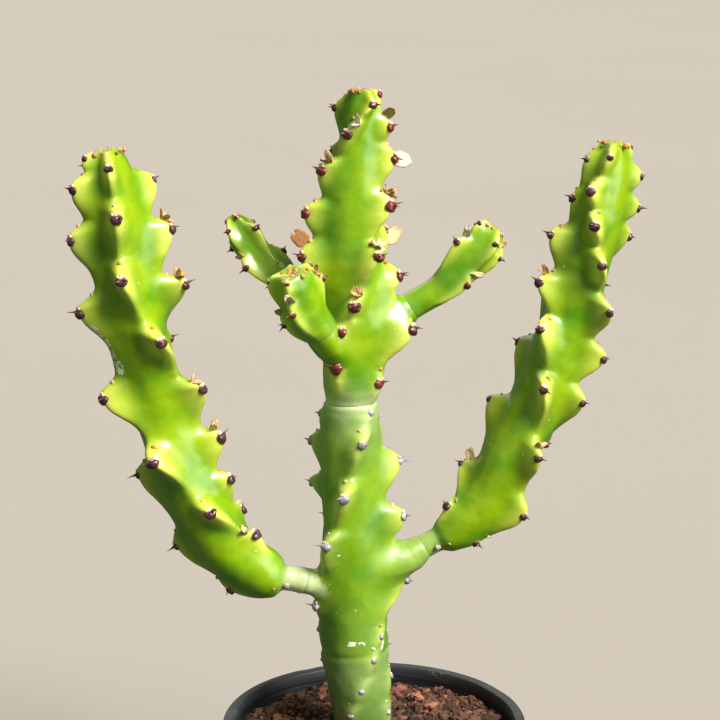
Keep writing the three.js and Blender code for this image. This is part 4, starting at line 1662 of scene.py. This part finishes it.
@dataclass
class DriedLeaves:
    """Dried leaves and scraps on one stem."""

    form: StemForm
    plans: tuple[LeafPlan, ...]
    seed: int
    inset: float = 3.1
    lift: float = 0.6
    hanging_inset: float = 0.6
    hanging_lift: float = -0.55
    sink: float = 1.6
    thickness: float = 0.28
    tilt: float = 0.35
    sway: float = 0.55
    tip_margin: float = 9.0
    grid: tuple[int, int] = (8, 12)

    def mesh(self) -> Mesh:
        """Builds the leaves.

        Returns:
            The leaves, with thickness.
        """
        chance = random.Random(self.seed)
        shape, layers = new_part("tone", "rim")
        for plan in self.plans:
            for petal in range(plan.petals):
                turned = replace(plan, turn=plan.turn + petal * GOLDEN_ANGLE)
                self._leaf(shape, layers, turned, chance)
        taken = {(plan.rib, plan.tubercle) for plan in self.plans}
        for rib, rows in enumerate(self.form.plan.ribs):
            for number, row in enumerate(rows):
                roll = chance.random()
                if (rib, number) in taken or roll > self.form.plan.scrap_share:
                    continue
                to_tip = self.form.line.length - row[0]
                if self.form.plan.is_old(row[0]) or to_tip < self.tip_margin:
                    continue
                tone = chance.choice((LeafTone.TAN, LeafTone.OCHRE))
                for _ in range(chance.randint(3, 4)):
                    scrap = LeafPlan(rib, number, chance.uniform(1.6, 2.8), chance.uniform(1.8, 3.0),
                                     chance.uniform(-170, 170), False, tone, chance.uniform(1.4, 3.0),
                                     petals=3)
                    self._leaf(shape, layers, scrap, chance)
        settings = {"thickness": self.thickness * MM, "offset": 0.0}
        return with_modifier(to_mesh(shape), "SOLIDIFY", settings)

    def _leaf(self, shape: Shape, layers: list, plan: LeafPlan, chance: random.Random) -> None:
        """Adds one leaf, from its stalk in the stem to its tip.

        Args:
            shape: Where to add it.
            layers: Layers for its tone and its rim.
            plan: Its place and sizes.
            chance: The random sequence.
        """
        made = add_grid(shape, self.grid)
        rib = self.form.plan.ribs[plan.rib]
        row = rib[plan.tubercle]
        at = np.array([row[0] - plan.lower + (0.0 if plan.hanging else self.form.tubercle_rise)])
        station, degrees = float(at[0]), float(smooth_column(rib, at, 1)[0])
        radius = self.form.reach(row) - (self.hanging_inset if plan.hanging else self.inset)
        root = self.form.spot(station, degrees, radius)
        if plan.lower:
            root = self.form.point(station, degrees)
        _, _, facing = self.form.directions(station, degrees, self.tilt)
        along = Vector(self.form.line.frames(at)[1][0])
        lift = self.hanging_lift if plan.hanging else self.lift
        sway = Vector()
        if plan.petals > 1:
            sway = Vector([chance.uniform(-self.sway, self.sway) for _ in range(3)])
        direction = (facing + along * lift + sway).normalized()
        turn = Vector((0, 0, 1)).rotation_difference(direction).to_matrix()
        turn = turn @ Matrix.Rotation(math.radians(plan.turn), 3, "Z")
        full = plan.length + self.sink
        shift = Vector((chance.uniform(0, 9), chance.uniform(0, 9), 0.0))
        for vert in made:
            u, v = vert.co.x * 2, vert.co.y + 0.5
            half = plan.width * 0.5 * min(1.0, 0.25 + v * 2.6) * math.sqrt(1.0 - 0.94 * v**5)
            notch = 0.2 * v**3 * (1 - abs(u)) if plan.notched else -0.06 * v * (1 - u * u)
            rise = full * (v - notch)
            wave = noise.noise(Vector((u * 1.3, v * 2.0, 0)) + shift) * 0.9
            bow = plan.curl * (v * v * 1.6 + u * u * 0.35) + wave * (0.3 + plan.curl * 0.3)
            vert[layers[0]] = plan.tone.value
            vert[layers[1]] = max(abs(u) ** 4, max(0.0, v - 0.85) * 5, max(0.0, 0.2 - v) * 4)
            local = Vector((u * half, -bow, rise - self.sink))
            vert.co = root + turn @ local * MM


# --- Pot and soil ---


@dataclass
class Pot:
    """Thin-walled nursery pot with a rolled lip, sizes in millimetres."""

    height: float = 120.0
    foot_radius: float = 49.7
    shoulder_radius: float = 65.8
    band_radius: float = 69.2
    band_height: float = 15.0
    band_step: float = 2.0
    band_flare: float = 0.8
    rim_radius: float = 72.5
    lip_height: float = 2.6
    wall: float = 1.6
    floor: float = 2.4
    drain_radius: float = 4.5
    drain_circle: float = 35.0
    drains: int = 6
    sides: int = 144
    dents: tuple[Row, ...] = ((118, 0.011, 3.0), (126, -0.004, 3.5), (31, 0.004, 6.0))

    @property
    def shoulder(self) -> float:
        """Height at which the band starts."""
        return self.height - self.band_height

    @property
    def band_inside(self) -> float:
        """Inside radius of the band."""
        return self.band_radius - self.wall

    @property
    def inner_step(self) -> float:
        """Height at which the inside of the wall turns out to the band."""
        turn = math.atan2(self.band_radius - self.shoulder_radius, self.band_step)
        return self.shoulder + self.wall * math.tan(turn / 2)

    def inside(self, height: float) -> float:
        """Inside radius of the plain wall at a height."""
        share = height / self.shoulder
        return self.foot_radius + share * (self.shoulder_radius - self.foot_radius) - self.wall

    def profile(self) -> list[tuple[float, float]]:
        """Radius and height of the wall's outline, from the middle of the underside.

        Returns:
            The outline's points.
        """
        lip_bottom = self.height - self.lip_height
        lip_middle = self.height - self.lip_height / 2
        points = [(0, 0), (self.foot_radius - 0.8, 0), (self.foot_radius - 0.2, 0.25)]
        points += [(self.foot_radius + 0.1, 1.0)]
        points += [(self.foot_radius + (self.shoulder_radius - self.foot_radius) * share,
                    self.shoulder * share) for share in (0.25, 0.5, 0.75, 0.98, 1.0)]
        points += [(self.band_radius, self.shoulder + self.band_step)]
        points += [(self.band_radius + 0.15, self.shoulder + self.band_step + 1.2)]
        points += [(self.band_radius + self.band_flare, lip_bottom)]
        points += [(self.rim_radius - 0.9, lip_bottom + 0.1)]
        for degrees in range(-60, 61, 20):
            turn = math.radians(degrees)
            points.append((self.rim_radius - 0.9 + 0.9 * math.cos(turn),
                           lip_middle + self.lip_height / 2 * math.sin(turn) * 1.15))
        points += [(self.rim_radius - 1.3, self.height), (self.band_inside + 0.9, self.height)]
        points += [(self.band_inside + 0.3, self.height - 0.25), (self.band_inside, self.height - 0.9)]
        points += [(self.band_inside, self.height - 6.0)]
        points += [(self.band_inside, self.inner_step + self.band_step)]
        points += [(self.inside(self.shoulder), self.inner_step)]
        points += [(self.inside(self.floor), self.floor), (0, self.floor)]
        return points

    def mesh(self) -> Mesh:
        """Spins the profile, dents the rim a little and drills the drains.

        Returns:
            The pot.
        """
        shape = spun(self.profile(), self.sides)
        lip = shape.verts.layers.float.new("lip")
        for vert in shape.verts:
            height = vert.co.z / MM
            vert[lip] = max(0.0, min(1.0, (height - self.height + 3.2) / 2.2))
            vert.co.xy *= 1.0 - self._dent(math.atan2(vert.co.y, vert.co.x), height)
        return self._drilled(to_mesh(shape))

    def _dent(self, turn: float, height: float) -> float:
        """Share by which the thin rim is pressed in at an angle.

        Args:
            turn: Angle round the pot, in radians.
            height: Height above the foot.

        Returns:
            The share of the radius.
        """
        depth = max(0.0, (height - self.shoulder) / self.band_height)
        crease = 0.0
        for degrees, amount, width in self.dents:
            offset = (math.degrees(turn) - degrees + 180) % 360 - 180
            crease += amount * math.exp(-((offset / width) ** 2))
        wave = 0.0012 * (1 + math.sin(3 * turn + 0.6)) + 0.0006 * (1 + math.sin(7 * turn))
        return depth * (max(crease, 0.0) + wave)

    def _drilled(self, mesh: Mesh) -> Mesh:
        """Cuts the drain holes through the floor.

        Args:
            mesh: The whole pot, which is removed.

        Returns:
            The drilled pot.
        """
        drills = bmesh.new()
        for number in range(self.drains):
            turn = number / self.drains * 2 * math.pi
            place = Vector((math.cos(turn), math.sin(turn), 0)) * self.drain_circle * MM
            radius = self.drain_radius * MM
            bmesh.ops.create_cone(drills, cap_ends=True, segments=28, radius1=radius, radius2=radius,
                                  depth=self.floor * 4 * MM, matrix=Matrix.Translation(place))
        cutter = bpy.data.objects.new("drills", to_mesh(drills, smooth=False))
        bpy.context.scene.collection.objects.link(cutter)
        made = with_modifier(mesh, "BOOLEAN", {"operation": "DIFFERENCE", "object": cutter})
        bpy.data.objects.remove(cutter)
        return made


@dataclass(frozen=True)
class CrumbPlan:
    """Loose crumbs: how many, radii in millimetres, cuts in each edge, and a seed."""

    count: int
    low: float
    high: float
    cuts: int
    seed: int


@dataclass
class Soil:
    """Loose granular soil, lying in low heaps in the pot, sizes in millimetres."""

    pot: Pot
    level: float = 112.6
    heap_height: float = 1.9
    heap_length: float = 30.0
    fit: float = 0.3
    hole_x: float = -4.8
    hole_radius: float = 13.4
    sides: int = 220
    rings: int = 56
    grit: CrumbPlan = CrumbPlan(3800, 0.5, 1.9, 1, 7)
    clods: CrumbPlan = CrumbPlan(480, 1.7, 4.0, 3, 8)

    def height_at(self, x: float, y: float) -> float:
        """Height of the heaped surface at a place.

        Args:
            x: Place to the right.
            y: Place to the back.

        Returns:
            The height.
        """
        turn = 2 * math.pi / self.heap_length
        heap = math.sin(turn * (x + 4 * math.sin(y / 9)) + 0.6) * math.cos(turn * y + 0.9)
        away = math.hypot(x, y) / (self.pot.band_inside - self.fit)
        swell = 0.7 * noise.noise(Vector((x, y, 5)) * 0.15)
        return self.level - 0.7 + self.heap_height * heap + swell - away**6

    def bed(self) -> Mesh:
        """Builds the solid bed under the loose crumbs.

        Returns:
            The bed.
        """
        edge = self.pot.band_inside - self.fit
        bottom = self.pot.floor + self.fit
        shoulder = self.pot.inside(self.pot.shoulder) - self.fit
        profile = [(0, bottom), (self.pot.inside(bottom) - self.fit, bottom),
                   (shoulder, self.pot.inner_step + self.fit),
                   (edge, self.pot.inner_step + self.pot.band_step + self.fit)]
        profile += [(edge * share, self.level - 1.8) for share in np.linspace(1.0, 0.0, self.rings)]
        shape = spun(profile, self.sides)
        tone = shape.verts.layers.float.new("tone")
        for vert in shape.verts:
            x, y, z = vert.co / MM
            if z > self.level - 2.5:
                grit = 0.9 * noise.noise(Vector((x, y, 0)) * 0.6) + 0.5 * noise.noise(Vector((x, y, 3)))
                vert.co.z = (self.height_at(x, y) - 0.7 + grit) * MM
            vert[tone] = 0.16 + 0.16 * noise.noise(vert.co * 300)
        return to_mesh(shape)

    def loose(self, plan: CrumbPlan) -> Mesh:
        """Scatters lumpy crumbs over the bed.

        Args:
            plan: How many there are, and of what size.

        Returns:
            The crumbs, as rounded and roughened cubes.
        """
        chance = random.Random(plan.seed)
        shape = bmesh.new()
        edge = self.pot.band_inside - self.fit
        for _ in range(plan.count):
            radius = plan.low + (plan.high - plan.low) * chance.random() ** 2.2
            away = math.sqrt(chance.random()) * (edge - radius * 1.3 - 0.2)
            turn = chance.uniform(0, 2 * math.pi)
            x, y = away * math.cos(turn), away * math.sin(turn)
            if math.hypot(x - self.hole_x, y) < self.hole_radius + radius * 0.9:
                continue
            z = self.height_at(x, y) + chance.uniform(-0.6, 0.35) * radius
            place = Vector((x, y, z)) * MM
            spin = Matrix.Rotation(chance.uniform(0, 6.28), 4, chance.choice("XYZ"))
            crumb = bmesh.new()
            tone = crumb.verts.layers.float.new("tone")
            size = crumb.verts.layers.float.new("size")
            middle = crumb.verts.layers.float_vector.new("middle")
            bmesh.ops.create_cube(crumb, size=1.0, matrix=Matrix.Translation(place) @ spin)
            shade = self._shade(chance)
            for vert in crumb.verts:
                vert[tone] = shade
                vert[middle] = place
                vert[size] = radius
            join_part(shape, crumb)
        size = shape.verts.layers.float["size"]
        middle = shape.verts.layers.float_vector["middle"]
        bmesh.ops.subdivide_edges(shape, edges=shape.edges, cuts=plan.cuts, use_grid_fill=True)
        for vert in shape.verts:
            centre = vert[middle]
            out = (vert.co - centre).normalized()
            seat = centre / MM * 3.1
            lump = 1.0 + 0.55 * noise.noise(out * 1.4 + seat) + 0.3 * noise.noise(out * 4.1 + seat)
            out.z *= 0.85
            vert.co = centre + out * vert[size] * lump * MM
        return to_mesh(shape, smooth=False)

    def _shade(self, chance: random.Random) -> float:
        """Shade of one crumb: mostly brown, some nearly black, a few brick red.

        Args:
            chance: The random sequence.

        Returns:
            The shade, from 0 to 1.
        """
        roll = chance.random()
        if roll < 0.24:
            return chance.uniform(0.0, 0.16)
        if roll < 0.92:
            return chance.uniform(0.24, 0.56)
        return chance.uniform(0.62, 0.88)


# --- The whole plant and the studio ---


@dataclass
class Plant:
    """All stems, with what grows on them."""

    young: SkinFinish = SkinFinish("young_skin")
    old: SkinFinish = SkinFinish(
        "old_skin", flank=rgb(152, 182, 12), shaded=rgb(64, 124, 16), crest=rgb(190, 210, 60),
        roughness=0.42, coat=0.3,
    )
    branch: SkinFinish = SkinFinish(
        "branch_skin", flank=rgb(166, 194, 8), shaded=rgb(64, 132, 10), crest=rgb(206, 220, 60),
    )
    horn: CapFinish = CapFinish("horn")
    felt: BudFinish = BudFinish("felt")
    dry: LeafFinish = LeafFinish("dry_leaf")
    first_seed: int = 31
    widest_hole: int = 12

    def build(self) -> None:
        """Builds every stem and everything on it."""
        old, young, branch = (skin.material() for skin in (self.old, self.young, self.branch))
        shared = (self.horn.material(), self.felt.material(), self.dry.material())
        stems = (
            (TRUNK, TRUNK_NECKS, old, "old_stem"),
            (CROWN, CROWN_NECKS, young, "young_stem"),
            (LEFT_ARM, (), young, "young_stem"),
            (RIGHT_ARM, (), young, "young_stem"),
            (BACK_LEFT_BRANCH, (), branch, "young_stem"),
            (FRONT_LEFT_BRANCH, (), branch, "young_stem"),
            (RIGHT_BRANCH, (), branch, "young_stem"),
        )
        for number, (plan, necks, finish, slot) in enumerate(stems):
            form = StemForm(plan)
            skin = self._skin(form, necks)
            make_piece(f"{plan.name}_skin", skin, finish, (plan.name,))
            self._armour(form, shared, self.first_seed + number)

    def _skin(self, form: StemForm, necks: tuple[NeckPlan, ...]) -> Mesh:
        """Builds the skin of one stem, fused with its necks if it has any.

        Args:
            form: The stem.
            necks: Its necks.

        Returns:
            The skin.
        """
        if not necks:
            return to_mesh(form.skin())
        return FusedSkin(form, tuple(StemForm(neck.plan()) for neck in necks)).mesh()

    def _armour(self, form: StemForm, shared: tuple[Material, ...], seed: int) -> None:
        """Makes the pieces that grow on one stem.

        Args:
            form: The stem's form.
            shared: Finishes of horn, felt and dried leaf.
            seed: Start of its random sequences.
        """
        name = form.plan.name
        horn, felt, dry = shared
        armour = Armour(form, seed)
        make_piece(f"{name}_caps", to_mesh(armour.caps()), horn)
        make_piece(f"{name}_spines", self._closed(armour.spines()), horn)
        make_piece(f"{name}_buds", to_mesh(armour.buds()), felt)
        leaves = DriedLeaves(form, LEAVES.get(name, ()), seed).mesh()
        if len(leaves.vertices):
            make_piece(f"{name}_dried_leaves", leaves, dry)

    def _closed(self, shape: Shape) -> Mesh:
        """Welds the spines' seams and fills their roots.

        Args:
            shape: The spines.

        Returns:
            The closed spines.
        """
        bmesh.ops.remove_doubles(shape, verts=shape.verts, dist=2 * WELD)
        rims = [edge for edge in shape.edges if edge.is_boundary]
        bmesh.ops.holes_fill(shape, edges=rims, sides=self.widest_hole)
        return to_mesh(shape)


@dataclass
class Studio:
    """Floor, soft lights and the camera at the photographed angle, in metres."""

    camera_place: Row = (-0.0068, -0.8941, 0.5064)
    camera_down: float = 13.2
    lens: float = 100.0
    sensor: float = 36.0
    farthest: float = 100.0
    floor_size: float = 60.0
    sky: Colour = (0.66, 0.88, 0.52, 1.0)
    sky_strength: float = 0.14
    lights: tuple[tuple, ...] = (
        ("key", (0.6, -0.52, 0.8), 6.6, 28.0, (1.0, 0.965, 0.9)),
        ("side", (0.9, -0.42, 0.14), 1.2, 40.0, (1.0, 0.99, 0.95)),
        ("fill", (-0.5, -1.0, 0.5), 0.25, 60.0, (0.92, 1.0, 0.85)),
        ("back", (-0.4, 1.0, 0.7), 0.6, 50.0, (1.0, 1.0, 0.96)),
    )

    def build(self) -> None:
        """Builds the floor, the lights, the surroundings and the camera."""
        self._floor()
        for light in self.lights:
            self._light(*light)
        world = bpy.data.worlds.new("studio")
        world.use_nodes = True
        background = world.node_tree.nodes["Background"]
        background.inputs["Color"].default_value = self.sky
        background.inputs["Strength"].default_value = self.sky_strength
        bpy.context.scene.world = world
        bpy.context.scene.view_settings.view_transform = "Standard"
        self._camera()

    def _floor(self) -> None:
        """Builds the wide pale floor."""
        shape = bmesh.new()
        bmesh.ops.create_grid(shape, x_segments=4, y_segments=4, size=self.floor_size / 2)
        floor = bpy.data.objects.new("studio_floor", to_mesh(shape))
        floor.data.materials.append(FloorFinish("pale_floor").material())
        floor.visible_diffuse = False
        floor.visible_glossy = False
        bpy.context.scene.collection.objects.link(floor)

    def _light(self, name: str, source: Row, power: float, spread: float, colour: Row) -> None:
        """Adds an even light from one side.

        Args:
            name: Name of the light.
            source: Direction in which it stands.
            power: Its power on a surface that faces it.
            spread: Its width in the sky, in degrees.
            colour: Its colour.
        """
        data = bpy.data.lights.new(name, "SUN")
        data.energy = power
        data.angle = math.radians(spread)
        data.color = colour
        light = bpy.data.objects.new(name, data)
        light.location = source
        light.rotation_euler = (-Vector(source)).to_track_quat("-Z", "Y").to_euler()
        bpy.context.scene.collection.objects.link(light)

    def _camera(self) -> None:
        """Adds the camera."""
        data = bpy.data.cameras.new("camera")
        data.lens = self.lens
        data.sensor_width = self.sensor
        data.clip_end = self.farthest
        camera = bpy.data.objects.new("camera", data)
        camera.location = self.camera_place
        camera.rotation_euler = (math.radians(90.0 - self.camera_down), 0.0, 0.0)
        bpy.context.scene.collection.objects.link(camera)
        bpy.context.scene.camera = camera


def main() -> None:
    """Builds the plant, the pot, the soil and the studio."""
    logging.basicConfig(level=logging.INFO, format="%(name)s %(message)s")
    Plant().build()
    pot = Pot()
    soil = Soil(pot)
    earth = SoilFinish("soil_crumbs").material()
    make_piece("pot_shell", pot.mesh(), PotFinish("pot_plastic").material(), ("pot",))
    make_piece("soil_bed", soil.bed(), earth, ("soil",))
    make_piece("soil_grit", soil.loose(soil.grit), earth)
    make_piece("soil_clods", soil.loose(soil.clods), earth)
    Studio().build()


if __name__ == "__main__":
    main()
